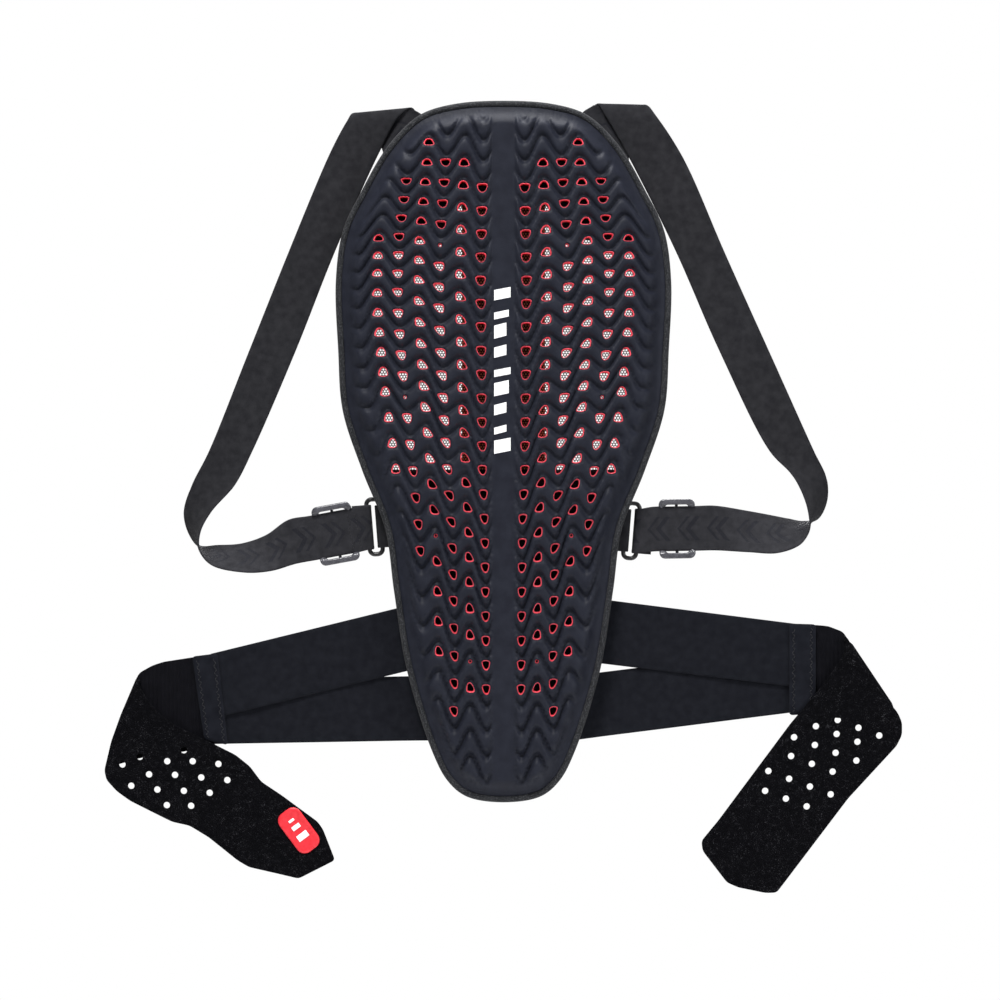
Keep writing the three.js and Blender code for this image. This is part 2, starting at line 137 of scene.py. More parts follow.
def catmull(points, per, closed=False):
    """A centripetal Catmull-Rom curve through points, with per steps in each span."""
    p = np.array(points, float)
    if closed:
        p = np.vstack([p[-1], p, p[0], p[1]])
    else:
        p = np.vstack([2 * p[0] - p[1], p, 2 * p[-1] - p[-2]])
    out = []
    for i in range(1, len(p) - 2):
        p0, p1, p2, p3 = p[i - 1:i + 3]
        d0, d1, d2 = (max(np.linalg.norm(b - a) ** 0.5, 1e-6) for a, b in ((p0, p1), (p1, p2), (p2, p3)))
        m1 = d1 * ((p1 - p0) / d0 - (p2 - p0) / (d0 + d1) + (p2 - p1) / d1)
        m2 = d1 * ((p2 - p1) / d1 - (p3 - p1) / (d1 + d2) + (p3 - p2) / d2)
        for j in range(per):
            t = j / per
            a, b = 2 * t ** 3 - 3 * t ** 2 + 1, t ** 3 - 2 * t ** 2 + t
            out.append(a * p1 + b * m1 + (3 * t ** 2 - 2 * t ** 3) * p2 + (t ** 3 - t ** 2) * m2)
    if not closed:
        out.append(p[-2])
    return np.array(out)


def lengths(path):
    return np.concatenate([[0], np.cumsum(np.linalg.norm(np.diff(path, axis=0), axis=1))])


def resample(path, count, closed=False):
    """count points evenly spaced along a path."""
    p = np.vstack([path, path[:1]]) if closed else np.array(path, float)
    s = lengths(p)
    at = np.linspace(0, s[-1], count + 1)[:-1] if closed else np.linspace(0, s[-1], count)
    return np.column_stack([np.interp(at, s, p[:, i]) for i in range(p.shape[1])])


right_half = OUTLINE
left_half = [(-x, z) for x, z in OUTLINE[1:-1]][::-1]
OUTER = resample(catmull(right_half + left_half, 16, closed=True), 480, closed=True)


def outward(loop):
    along = np.roll(loop, -1, axis=0) - np.roll(loop, 1, axis=0)
    along /= np.linalg.norm(along, axis=1)[:, None]
    return np.column_stack([along[:, 1], -along[:, 0]])


def inset(loop, distance):
    return loop - outward(loop) * distance


def half_width(z, distance=0.0):
    """Half width of the outline, moved in by a distance, at heights z."""
    loop = inset(OUTER, distance)
    side = loop[loop[:, 0] > 0]
    side = side[np.argsort(side[:, 1])]
    return np.interp(z, side[:, 1], side[:, 0])


def edge_distance(points, loop):
    tree = kdtree.KDTree(len(loop))
    for i, (x, z) in enumerate(loop):
        tree.insert((x, z, 0), i)
    tree.balance()
    return np.array([tree.find((x, z, 0))[2] for x, z in points])


# ---------------------------------------------------------------- mesh building

def new_mesh(name, verts, faces, uv=None, smooth_shade=True):
    """A mesh object from places in mm. uv is one (u, v) for each vertex, in mm."""
    mesh = bpy.data.meshes.new(name)
    mesh.from_pydata([tuple(np.array(v) * MM) for v in verts], [], [tuple(f) for f in faces])
    if uv is not None:
        layer = mesh.uv_layers.new(name="UVMap")
        corner = np.zeros(len(mesh.loops), int)
        mesh.loops.foreach_get("vertex_index", corner)
        layer.data.foreach_set("uv", (np.array(uv, float)[corner] * MM).ravel())
    mesh.validate()
    mesh.update()
    if smooth_shade:
        mesh.polygons.foreach_set("use_smooth", [True] * len(mesh.polygons))
    obj = bpy.data.objects.new(name, mesh)
    bpy.context.scene.collection.objects.link(obj)
    return obj


def outward_faces(obj):
    bm = bmesh.new()
    bm.from_mesh(obj.data)
    bmesh.ops.recalc_face_normals(bm, faces=bm.faces)
    bm.to_mesh(obj.data)
    bm.free()
    return obj


def loft(name, sections, uv_u=None, uv_v=None, close=True, caps=True):
    """A closed body through sections, each a closed ring of the same number of points."""
    s = np.array(sections, float)
    rows, ring = s.shape[:2]
    verts = s.reshape(-1, 3)
    faces = []
    for i in range(rows - 1 if not close or caps else rows):
        for j in range(ring):
            a, b = i * ring + j, i * ring + (j + 1) % ring
            c = ((i + 1) % rows) * ring
            faces.append((a, b, c + (j + 1) % ring, c + j))
    if caps:
        faces.append(tuple(range(ring))[::-1])
        faces.append(tuple((rows - 1) * ring + j for j in range(ring)))
    uv = None
    if uv_u is not None:
        uv = [(uv_u[i], uv_v[j]) for i in range(rows) for j in range(ring)]
    return outward_faces(new_mesh(name, verts, faces, uv))


def triangulate(loops, points):
    """Triangles between closed loops (the first is the outer one) and free points inside it."""
    verts, edges, owner = [], [], []
    for index, loop in enumerate(loops):
        start = len(verts)
        verts += [Vector((x, z)) for x, z in loop]
        owner += [index] * len(loop)
        edges += [(start + i, start + (i + 1) % len(loop)) for i in range(len(loop))]
    verts += [Vector((x, z)) for x, z in points]
    owner += [-1] * len(points)
    co, _, faces, origin, _, _ = delaunay_2d_cdt(verts, edges, [], 1, 1e-7)
    own = np.array([owner[o[0]] if o else -1 for o in origin])
    tri = np.array([f for f in faces if len(f) == 3])
    of = own[tri]
    same = (of[:, 0] == of[:, 1]) & (of[:, 1] == of[:, 2]) & (of[:, 0] >= 0)
    keep = ~(same & (of[:, 0] > 0))
    return np.array(co), tri[keep], [o[0] if o else -1 for o in origin]


def inside_polygon(point, loop):
    x, z = point
    a, b = loop, np.roll(loop, -1, axis=0)
    crosses = (a[:, 1] > z) != (b[:, 1] > z)
    at = a[:, 0] + (z - a[:, 1]) * (b[:, 0] - a[:, 0]) / np.where(crosses, b[:, 1] - a[:, 1], 1)
    return (crosses & (x < at)).sum() % 2 == 1


def half_of(loop, points):
    side = loop[loop[:, 0] > 0]
    side = side[np.argsort(side[:, 1])]
    return np.interp(points[:, 1], side[:, 1], side[:, 0])


# ---------------------------------------------------------------- materials

class Shader:
    """A Principled material with short calls for the node maths its patterns need."""

    def __init__(self, name, rough, specular=0.25, coat=0.0, sheen=0.0, metal=0.0):
        self.material = bpy.data.materials.new(name)
        self.material.use_nodes = True
        self.nodes = self.material.node_tree.nodes
        self.links = self.material.node_tree.links
        self.bsdf = self.nodes["Principled BSDF"]
        self.bsdf.inputs["Roughness"].default_value = rough
        self.bsdf.inputs["Specular IOR Level"].default_value = specular
        self.bsdf.inputs["Coat Weight"].default_value = coat
        self.bsdf.inputs["Sheen Weight"].default_value = sheen
        self.bsdf.inputs["Sheen Roughness"].default_value = 0.5
        self.bsdf.inputs["Metallic"].default_value = metal
        self.coords = self.nodes.new("ShaderNodeTexCoord")

    def place(self, kind="Object", scale=(1, 1, 1), rotate=0.0):
        node = self.nodes.new("ShaderNodeMapping")
        self.links.new(self.coords.outputs[kind], node.inputs["Vector"])
        node.inputs["Scale"].default_value = scale
        node.inputs["Rotation"].default_value = (0, 0, rotate)
        return node.outputs["Vector"]

    def maths(self, kind, a, b=0.0, c=0.0):
        node = self.nodes.new("ShaderNodeMath")
        node.operation = kind
        for socket, value in zip(node.inputs, (a, b, c)):
            if isinstance(value, (int, float)):
                socket.default_value = value
            else:
                self.links.new(value, socket)
        return node.outputs[0]

    def axes(self, vector):
        node = self.nodes.new("ShaderNodeSeparateXYZ")
        self.links.new(vector, node.inputs[0])
        return node.outputs

    def noise(self, size_mm, detail=2.0, kind="Object", stretch=(1, 1, 1)):
        node = self.nodes.new("ShaderNodeTexNoise")
        scale = tuple(1000 / size_mm * s for s in stretch)
        self.links.new(self.place(kind, scale), node.inputs["Vector"])
        node.inputs["Scale"].default_value = 1.0
        node.inputs["Detail"].default_value = detail
        return node.outputs["Fac"]

    def cells(self, size_mm, kind="Object", feature="F1"):
        node = self.nodes.new("ShaderNodeTexVoronoi")
        node.feature = feature
        self.links.new(self.place(kind, (1000 / size_mm,) * 3), node.inputs["Vector"])
        node.inputs["Scale"].default_value = 1.0
        return node.outputs["Distance"]

    def wave(self, value, period_mm):
        """0 to 1 along a coordinate given in metres."""
        turn = self.maths("MULTIPLY", value, 2 * math.pi * 1000 / period_mm)
        return self.maths("MULTIPLY_ADD", self.maths("SINE", turn), 0.5, 0.5)

    def shades(self, factor, stops):
        node = self.nodes.new("ShaderNodeValToRGB")
        self.links.new(factor, node.inputs[0])
        ramp = node.color_ramp
        while len(ramp.elements) < len(stops):
            ramp.elements.new(0.5)
        for element, (at, colour) in zip(ramp.elements, stops):
            element.position = at
            element.color = (*colour, 1)
        return node.outputs["Color"]

    def mix(self, factor, a, b):
        node = self.nodes.new("ShaderNodeMix")
        node.data_type = "RGBA"
        for socket, value in ((node.inputs[0], factor), (node.inputs[6], a), (node.inputs[7], b)):
            if isinstance(value, tuple):
                socket.default_value = (*value, 1)
            elif isinstance(value, (int, float)):
                socket.default_value = value
            else:
                self.links.new(value, socket)
        return node.outputs[2]

    def colour(self, socket):
        self.links.new(socket, self.bsdf.inputs["Base Color"])
        return self

    def roughness(self, factor, low, high):
        self.links.new(self.maths("MULTIPLY_ADD", factor, high - low, low), self.bsdf.inputs["Roughness"])
        return self

    def bump(self, height, depth_mm, strength=1.0):
        """Adds a relief; calls stack."""
        node = self.nodes.new("ShaderNodeBump")
        node.inputs["Strength"].default_value = strength
        node.inputs["Distance"].default_value = depth_mm * MM
        self.links.new(height, node.inputs["Height"])
        normal = self.bsdf.inputs["Normal"]
        if normal.is_linked:
            self.links.new(normal.links[0].from_socket, node.inputs["Normal"])
        self.links.new(node.outputs["Normal"], normal)
        return self


def foam_material(name, dark, light):
    s = Shader(name, 0.5, specular=0.13)
    cloud = s.noise(9, 3)
    s.colour(s.shades(cloud, [(0.35, dark), (0.7, light)]))
    s.roughness(s.noise(1.3, 2), 0.42, 0.62)
    s.bump(s.noise(0.45, 3), 0.09)
    s.bump(s.cells(0.8), 0.04)
    return s.material


def core_material():
    s = Shader("core_foam", 0.6, specular=0.25)
    s.colour(s.shades(s.noise(2.2, 3), [(0.3, (0.78, 0.065, 0.10)), (0.75, (0.92, 0.125, 0.17))]))
    s.bump(s.cells(0.5), 0.08)
    return s.material


def weave_material(name, dark, light, pitch=(0.9, 0.7), relief=0.12, specular=0.05, sheen=0.02, kind="UV"):
    """Plain weave whose threads run along and across the piece's own UV, or its X and Z."""
    s = Shader(name, 0.8, specular=specular, sheen=sheen)
    axes = s.axes(s.place(kind))
    along, across = (axes[0], axes[1]) if kind == "UV" else (axes[0], axes[2])
    warp, weft = s.wave(along, pitch[0]), s.wave(across, pitch[1])
    over = s.maths("MULTIPLY", warp, weft)
    under = s.maths("MULTIPLY", s.maths("SUBTRACT", 1, warp), s.maths("SUBTRACT", 1, weft))
    thread = s.maths("ADD", over, under)
    # Colour mixes a random tone with the thread relief: darker in the dips between threads and lighter on
    # the raised threads, painted shade of the weave.
    tone_and_weave_shade = s.maths("MULTIPLY_ADD", s.noise(6, 3), 0.7, s.maths("MULTIPLY", thread, 0.35))
    s.colour(s.shades(tone_and_weave_shade, [(0.3, dark), (0.8, light)]))
    s.bump(thread, relief)
    s.bump(s.noise(0.4, 2), 0.05)
    return s


def shoulder_material():
    """Elastic webbing with tonal double chevrons along its middle."""
    s = weave_material("strap_elastic", (0.014, 0.014, 0.0165), (0.034, 0.034, 0.0385), (1.1, 0.62))
    axes = s.axes(s.place("UV"))
    along, across = axes[0], axes[1]
    repeat = 23 * MM

    def cell_of(vector_along, start):
        moved = s.maths("ADD", vector_along, 40 * repeat - start)
        return s.maths("MODULO", moved, repeat)

    def between(value, low, high):
        return s.maths("MULTIPLY", s.maths("GREATER_THAN", value, low), s.maths("LESS_THAN", value, high))

    chevron = s.maths("ADD", along, s.maths("MULTIPLY", s.maths("ABSOLUTE", across), 0.8))
    first = between(cell_of(chevron, 0.0), 2 * MM, 6 * MM)
    second = between(cell_of(chevron, 0.0), 10 * MM, 12.5 * MM)
    middle = between(across, -9.5 * MM, 9.5 * MM)
    motif = s.maths("MULTIPLY", middle, s.maths("MAXIMUM", first, second))
    base = s.bsdf.inputs["Base Color"].links[0].from_socket
    s.colour(s.mix(s.maths("MULTIPLY", motif, 0.6), base, (0.0085, 0.009, 0.0135)))
    s.links.new(s.maths("MULTIPLY_ADD", motif, -0.3, 0.85), s.bsdf.inputs["Roughness"])
    s.bump(motif, -0.15)
    return s.material


def pile_material():
    s = Shader("loop_pile", 0.9, specular=0.05, sheen=0.0)
    tufts = s.noise(0.75, 3)
    clump = s.noise(3.0, 2)
    mixed = s.maths("MULTIPLY_ADD", tufts, 0.75, s.maths("MULTIPLY", clump, 0.3))
    # Colour follows the same tuft noise as the bump: darkest in the hollows between loops, painted shade,
    # and lightest at the raised tips, the fibres' grey speckle with a painted highlight on it.
    gap, loop, tip = (0.0010, 0.0010, 0.0016), (0.0034, 0.0034, 0.0046), (0.055, 0.055, 0.06)
    s.colour(s.shades(mixed, [(0.46, gap), (0.62, loop), (0.78, tip)]))
    s.bump(s.cells(0.8), 0.5)
    s.bump(tufts, 0.6)
    return s.material


def rib_material():
    dark, light = (0.0018, 0.0018, 0.003), (0.005, 0.005, 0.0072)
    return weave_material("ribbed_elastic", dark, light, (1.6, 0.8), 0.25, kind="Object").material


def net_material():
    s = Shader("spacer_net", 0.75, specular=0.15)
    s.colour(s.shades(s.noise(0.8, 2), [(0.3, (0.012, 0.012, 0.014)), (0.7, (0.035, 0.032, 0.034))]))
    s.bump(s.noise(0.3, 2), 0.1)
    return s.material


def lining_material():
    dark, light = (0.009, 0.009, 0.012), (0.027, 0.028, 0.034)
    s = weave_material("lining", dark, light, (0.8, 0.8), 0.12, kind="Object")
    s.bump(s.cells(2.2), 0.15)
    return s.material


def lining_back_material():
    """The tan side of the spine channel, seen only through the holes."""
    s = Shader("channel_tan", 0.8, specular=0.05)
    s.colour(s.shades(s.noise(1.2, 3), [(0.3, (0.85, 0.50, 0.24)), (0.75, (0.98, 0.66, 0.36))]))
    s.bump(s.cells(0.9), 0.12)
    return s.material


def binding_material():
    dark, light = (0.008, 0.0085, 0.010), (0.032, 0.033, 0.036)
    s = weave_material("binding_tape", dark, light, (0.8, 0.8), 0.12, sheen=0.05)
    heather = s.noise(0.8, 2, "UV", (0.6, 1, 1))
    base = s.bsdf.inputs["Base Color"].links[0].from_socket
    flecks = s.maths("MULTIPLY", s.maths("GREATER_THAN", heather, 0.56), 0.45)
    s.colour(s.mix(flecks, base, (0.085, 0.087, 0.092)))
    return s.material


def thread_material(name, colour):
    s = Shader(name, 0.6, specular=0.3, sheen=0.1)
    dim = tuple(c * 0.6 for c in colour)
    s.colour(s.shades(s.noise(0.8, 2), [(0.3, dim), (0.7, colour)]))
    s.bump(s.wave(s.axes(s.place())[0], 0.35), 0.05)
    return s.material


def metal_material():
    s = Shader("coated_metal", 0.32, specular=0.35, coat=0.15)
    s.colour(s.shades(s.noise(3, 3), [(0.3, (0.004, 0.004, 0.005)), (0.75, (0.010, 0.010, 0.011))]))
    s.roughness(s.noise(1.5, 3), 0.25, 0.45)
    s.bump(s.noise(0.5, 2), 0.02)
    return s.material


def plastic_material():
    s = Shader("slider_plastic", 0.2, specular=0.5)
    s.colour(s.shades(s.noise(5, 2), [(0.3, (0.035, 0.035, 0.042)), (0.75, (0.075, 0.075, 0.088))]))
    s.roughness(s.noise(0.9, 2), 0.18, 0.38)
    s.bump(s.noise(0.35, 2), 0.03)
    return s.material


def badge_material():
    s = Shader("badge_rubber", 0.42, specular=0.4)
    s.colour(s.shades(s.noise(3, 2), [(0.3, (0.62, 0.012, 0.022)), (0.75, (0.78, 0.028, 0.042))]))
    s.bump(s.noise(0.4, 2), 0.03)
    return s.material


def print_material():
    s = Shader("spine_print", 0.5, specular=0.3)
    s.colour(s.shades(s.noise(4, 3), [(0.3, (0.82, 0.82, 0.83)), (0.75, (0.93, 0.93, 0.93))]))
    s.bump(s.noise(0.6, 2), 0.03)
    return s.material


FOAM = foam_material("plate_foam", (0.0092, 0.0104, 0.0170), (0.0135, 0.0152, 0.0235))
CORE = core_material()
NET = net_material()
LINING = lining_material()
BINDING = binding_material()
SHOULDER = shoulder_material()
BELT = weave_material("belt_elastic", (0.0045, 0.005, 0.0075), (0.011, 0.012, 0.016),
                      (1.3, 0.55), 0.1).material
RIBBED = rib_material()
PILE = pile_material()
METAL = metal_material()
PLASTIC = plastic_material()
BADGE = badge_material()
PRINT = print_material()
BELT_PATCH = weave_material("belt_patch", (0.004, 0.0045, 0.007), (0.012, 0.013, 0.018),
                            (0.8, 0.8), 0.1, kind="Object").material
THREAD = thread_material("thread", (0.008, 0.008, 0.012))
TAN = lining_back_material()


def finish_piece(obj, material, slot, *nodes, body=None):
    obj.data.materials.clear()
    obj.data.materials.append(material)
    if nodes:
        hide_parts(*nodes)
    if body:
        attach(obj, body)
    return obj


# ---------------------------------------------------------------- perforations

def at_height(table, z):
    return np.interp(z, [a for a, _ in table], [b for _, b in table])


def levels_at(column):
    """Heights of LEVEL_ROWS at any column number, waving from column to column."""
    table = np.array(COLUMN_LEVELS)
    column = np.clip(column, 0, len(table) - 1.001)
    whole = np.floor(column).astype(int)
    share = ((1 - np.cos(math.pi * (column - whole))) / 2)[:, None]
    return table[whole] * (1 - share) + table[whole + 1] * share


def column_at(x, z):
    return 1 + (np.abs(x) - at_height(FIRST_COLUMN, z)) / at_height(COLUMN_PITCH, z)


def height_of(levels, row):
    """Height of a row number, for each row of levels."""
    height = levels[:, 0] - PITCH_ABOVE * np.minimum(row, 0)
    for i, first in enumerate(LEVEL_ROWS[:-1]):
        share = np.clip((row - first) / (LEVEL_ROWS[i + 1] - first), 0, 1)
        height = height + share * (levels[:, i + 1] - levels[:, i])
    return height - PITCH_BELOW * np.maximum(row - LEVEL_ROWS[-1], 0)


def row_phase(x, z):
    """Which row of holes a place is level with, as a number that grows downwards."""
    levels = levels_at(column_at(x, z))
    row = np.minimum((levels[:, 0] - z) / PITCH_ABOVE, 0)
    for i, first in enumerate(LEVEL_ROWS[:-1]):
        share = np.clip((levels[:, i] - z) / (levels[:, i] - levels[:, i + 1]), 0, 1)
        row = row + share * (LEVEL_ROWS[i + 1] - first)
    return row + np.maximum((levels[:, -1] - z) / PITCH_BELOW, 0)


def row_height(column, row):
    levels = np.array([COLUMN_LEVELS[column]])
    return float(height_of(levels, np.array([row]))[0])


def rounded(corners, rounds=2):
    """A polygon with its corners cut back, twice over."""
    p = np.array(corners, float)
    for _ in range(rounds):
        q = np.roll(p, -1, axis=0)
        p = np.stack([0.75 * p + 0.25 * q, 0.25 * p + 0.75 * q], 1).reshape(-1, 2)
    return p


ARCH = rounded([(-0.56, -0.52), (0.56, -0.52), (0.46, 0.12), (0.2, 0.56), (-0.2, 0.56), (-0.46, 0.12)])
ROUND = rounded([(-0.6, -0.6), (0.6, -0.6), (0.6, 0.6), (-0.6, 0.6)], 2)


def hole_list():
    """Every hole, as its centre and its outline round that centre."""
    found = []
    for column, (first, last) in COLUMN_ROWS.items():
        for row in range(first, last + 1):
            z = row_height(column, row)
            x = float(at_height(FIRST_COLUMN, z) + (column - 1) * at_height(COLUMN_PITCH, z))
            if (column, row) in PINHOLES:
                shape = ROUND * 2.6
            else:
                out_by = column - 1
                tall = np.interp(z, [60, 130, 210], [7.7, 7.6 - 0.3 * out_by, 7.2 - 0.5 * out_by])
                wide = np.interp(z, [-200, -60, 60, 210], [6.5, 6.6, 7.9, 8.6])
                shape = ARCH * [wide, tall]
                if column % 2:
                    shape = (shape * [1, -1])[::-1]
                share = float(np.interp(z, [-110, -60, 120, 190], [0.5, 1, 1, 0.15]))
                lean = LEAN_BY_COLUMN[column] * share
                shape = shape + np.column_stack([shape[:, 1] * lean, 0 * shape[:, 0]])
            for side in (-1, 1):
                loop = shape * [side, 1] + [side * x, z]
                found.append((np.array([side * x, z]), loop[::side]))
    return found


HOLES = hole_list()


def grown(loop, amount):
    centre = loop.mean(0)
    out = loop - centre
    return centre + out * (1 + amount / np.linalg.norm(out, axis=1).mean())


# ---------------------------------------------------------------- foam plate and core

PLATE_LOOP = resample(inset(OUTER, PLATE_INSET), 420, closed=True)
POINT_PITCH = 1.75
GROOVE_PHASE = 0.36
HOLE_LIP = 0.45
COLLAR_DROP = 1.15


def crown(points):
    return smooth(edge_distance(points, PLATE_LOOP) / CROWN_WIDTH)


def skin_back(points, rise):
    return (CORE_EDGE_FRONT - SKIN_GAP) * (1 - rise) + (CORE_FRONT - SKIN_GAP) * rise + sweep(points[:, 0])


def plate_front(points, rise):
    """Depth of the plate's moulded face: stacked wave ribs that fade at the rim and the spine."""
    x, z = points[:, 0], points[:, 1]
    turn = (row_phase(x, z) + GROOVE_PHASE) % 1
    below, above = turn / 0.17, (1 - turn) / 0.12
    groove = np.exp(-below ** 2) + np.exp(-above ** 2)
    rib = (1 - groove) * (0.78 + 0.22 * np.sin(math.pi * turn ** 1.25))
    margin = smooth((edge_distance(points, PLATE_LOOP) - 5) / 5)
    away = smooth((np.abs(x) - 8.4) / 2.4)
    fade = margin * away
    deeper = LOW_GROOVE * smooth((-30 - z) / 60)
    top = GROOVE_FRONT + deeper - (RIB_HEIGHT + deeper) * rib
    middle = SPINE_FRONT * (1 - fade) + top * fade
    return EDGE_FRONT * (1 - rise) + middle * rise + sweep(x)


def rib_points():
    """Points laid along the ribs, closest together at the grooves, clear of rim and holes."""
    steps = np.array([0, 0.05, 0.1, 0.16, 0.23, 0.32, 0.43, 0.54, 0.65, 0.75, 0.83, 0.895, 0.95])
    rows = np.concatenate([n + steps for n in range(-5, 28)]) - GROOVE_PHASE
    found = []
    for i, row in enumerate(rows):
        x = np.arange(-130, 130, POINT_PITCH) + (i % 2) * POINT_PITCH / 2
        z = 0 * x + 205 - 18 * row
        for _ in range(4):
            z = height_of(levels_at(column_at(x, z)), 0 * x + row)
        found.append(np.column_stack([x, z]))
    return clear_points(np.vstack(found), 0.62)


def even_points(pitch):
    """A hexagonal net of points over the plate, clear of its rim and holes."""
    rows = np.arange(-266, 266, pitch * 0.866)
    grid = np.array([(x + (i % 2) * pitch / 2, z) for i, z in enumerate(rows)
                     for x in np.arange(-130, 130, pitch)])
    return clear_points(grid, pitch * 0.55)


def clear_points(grid, gap_wanted):
    low, high = PLATE_LOOP[:, 1].min() + gap_wanted, PLATE_LOOP[:, 1].max() - gap_wanted
    inside = (np.abs(grid[:, 0]) < half_of(PLATE_LOOP, grid) - gap_wanted)
    grid = grid[inside & (grid[:, 1] < high) & (grid[:, 1] > low)]
    grid = grid[edge_distance(grid, PLATE_LOOP) > gap_wanted * 1.2]
    keep = np.ones(len(grid), bool)
    for centre, loop in HOLES:
        rim = grown(loop, HOLE_LIP)
        reach = np.abs(rim - centre).max() + 2 * gap_wanted
        near = np.where(np.abs(grid - centre).max(1) < reach)[0]
        gap = np.linalg.norm(grid[near][:, None] - rim[None], axis=2).min(1)
        within = np.array([inside_polygon(p, rim) for p in grid[near]], bool)
        keep[near[(gap < gap_wanted) | within]] = False
    return grid[keep]


def perforated_body(name, front_loops, front_points, front_depth, back_loops, back_depth, walls):
    """A plate with holes: a front, a back and the walls between them.
    walls are rings of loops between front and back, each (loops, depth function)."""
    verts, faces = [], []
    co, tri, origin = triangulate(front_loops, front_points)
    verts += list(np.column_stack([co[:, 0], front_depth(co), co[:, 1]]))
    faces += [tuple(t) if orient(co[t]) > 0 else tuple(t[::-1]) for t in tri]
    by_origin = {o: i for i, o in enumerate(origin) if o >= 0}
    count = 0
    previous = []
    for loop in front_loops:
        previous.append([by_origin[count + i] for i in range(len(loop))])
        count += len(loop)
    for loops, depth in walls:
        ring = []
        for index, loop in enumerate(loops):
            start = len(verts)
            d = depth(np.array(loop))
            verts += [(x, y, z) for (x, z), y in zip(loop, d)]
            now = list(range(start, start + len(loop)))
            was = previous[index]
            n = len(loop)
            faces += [(was[i], was[(i + 1) % n], now[(i + 1) % n], now[i]) for i in range(n)]
            ring.append(now)
        previous = ring
    co, tri, origin = triangulate(back_loops, [])
    flat = [i for ring in previous for i in ring]
    extra = {}
    for i, o in enumerate(origin):
        if o < 0:
            extra[i] = len(verts)
            verts.append((co[i][0], float(back_depth(co[i:i + 1])[0]), co[i][1]))
    index = [flat[o] if o >= 0 else extra[i] for i, o in enumerate(origin)]
    faces += [tuple(index[v] for v in t) for t in tri]
    return outward_faces(new_mesh(name, verts, faces))


def orient(p):
    return (p[1][0] - p[0][0]) * (p[2][1] - p[0][1]) - (p[1][1] - p[0][1]) * (p[2][0] - p[0][0])


def make_plate():
    rims = [grown(loop, HOLE_LIP) for _, loop in HOLES]
    cuts = [loop for _, loop in HOLES]
    front = [PLATE_LOOP] + rims

    def depth_front(p):
        return plate_front(p, crown(p))

    def depth_lip(p):
        return plate_front(p, crown(p)) + 0.75

    def depth_back(p):
        return skin_back(p, crown(p))

    edge_lip = inset(PLATE_LOOP, -0.5)
    back = [edge_lip] + [grown(loop, -0.12) for loop in cuts]
    obj = perforated_body("outer_plate_skin", front, rib_points(), depth_front, back, depth_back,
                          [([edge_lip] + cuts, depth_lip), (back, depth_back)])
    finish_piece(obj, FOAM, "plate_foam", "outer_plate", body="root")
    return obj


def narrowed(loop, amount):
    """A hole's outline drawn in, but never by much of a small hole."""
    return grown(loop, -min(amount, 0.35 * np.linalg.norm(loop - loop.mean(0), axis=1).mean()))


def make_core():
    """The red core, with a collar that lines each hole up to just under the plate's face."""
    collars = [narrowed(loop, 0.3) for _, loop in HOLES]
    mouths = [narrowed(loop, 0.72) for _, loop in HOLES]
    ends = [narrowed(loop, 1.15) for _, loop in HOLES]
    rim = resample(inset(OUTER, PLATE_INSET + 0.6), 300, closed=True)

    def depth_front(p):
        return skin_back(p, crown(p)) + SKIN_GAP

    def depth_collar(p):
        if len(p) == len(rim):
            return depth_front(p) + 0.3
        return plate_front(p, crown(p)) + COLLAR_DROP

    def depth_back(p):
        return CORE_BACK + sweep(p[:, 0])

    walls = [([rim] + collars, depth_collar), ([rim] + mouths, lambda p: depth_collar(p) + 0.2),
             ([rim] + ends, depth_back)]
    obj = perforated_body("red_core", [rim] + collars, even_points(9), depth_front,
                          [rim] + ends, depth_back, walls)
    finish_piece(obj, CORE, "core_foam", "impact_core", body="root")
    return obj


# ---------------------------------------------------------------- net and back panels

NET_PITCH = 2.15
NET_HOLE = 0.86
NET_INSET = 4.5
LUMBAR_TOP = -14.0


def yoke_bottom(x):
    return np.interp(np.abs(x), [0, 32, 47, 64, 80, 120], [192, 190, 170.5, 163, 158.5, 157])


def make_net():
    """Hexagonal knitted net with round openings, over the part of the pad that no panel backs."""
    verts, faces = [], []
    rise = NET_PITCH * 0.866
    turns = [math.pi / 6 + i * math.pi / 3 for i in range(6)]
    ring = [(math.cos(a), math.sin(a)) for a in turns]
    reach = NET_PITCH / math.sqrt(3)
    index = {}

    def vertex(x, z):
        key = (round(x * 50), round(z * 50))
        if key not in index:
            index[key] = len(verts)
            verts.append((x, NET_DEPTH + float(sweep(np.array(x))), z))
        return index[key]

    for row, z in enumerate(np.arange(-205, 222, rise)):
        limit = float(half_width(z, NET_INSET)) - reach
        count = int(limit / NET_PITCH)
        for step in range(-count, count + 1):
            x = step * NET_PITCH + (row % 2) * NET_PITCH / 2
            middle = -26 < z < yoke_bottom(x) + 12
            if abs(x) > limit or abs(x) < 8 or not (middle or abs(x) < 27):
                continue
            outer = [vertex(x + reach * a, z + reach * b) for a, b in ring]
            inner = [vertex(x + NET_HOLE * a, z + NET_HOLE * b) for a, b in ring]
            faces += [(outer[i], outer[(i + 1) % 6], inner[(i + 1) % 6], inner[i]) for i in range(6)]
    obj = new_mesh("spacer_net_middle", verts, faces)
    finish_piece(obj, NET, "spacer_net", "spacer_mesh", body="root")
    declare_sheet(obj, *extent(obj), "stretched", ["red_core"])


def extent(obj):
    """How wide and how tall a piece that lies flat against the pad is."""
    x = [v.co.x for v in obj.data.vertices]
    z = [v.co.z for v in obj.data.vertices]
    return max(x) - min(x), max(z) - min(z)


def flat_area(obj):
    return sum(p.area for p in obj.data.polygons)


def declare_sheet(obj, width, length, held, rests_on, thick=False, with_pieces=()):
    area = flat_area(obj) * (0.5 if thick else 1)
    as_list(rests_on)
    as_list(with_pieces)


LOWEST_EDGE = 115.0


def declare_cut(outline):
    """Works out the area inside a flat piece's outline, and does nothing more with it."""
    area = abs(signed_area(outline)) * MM * MM


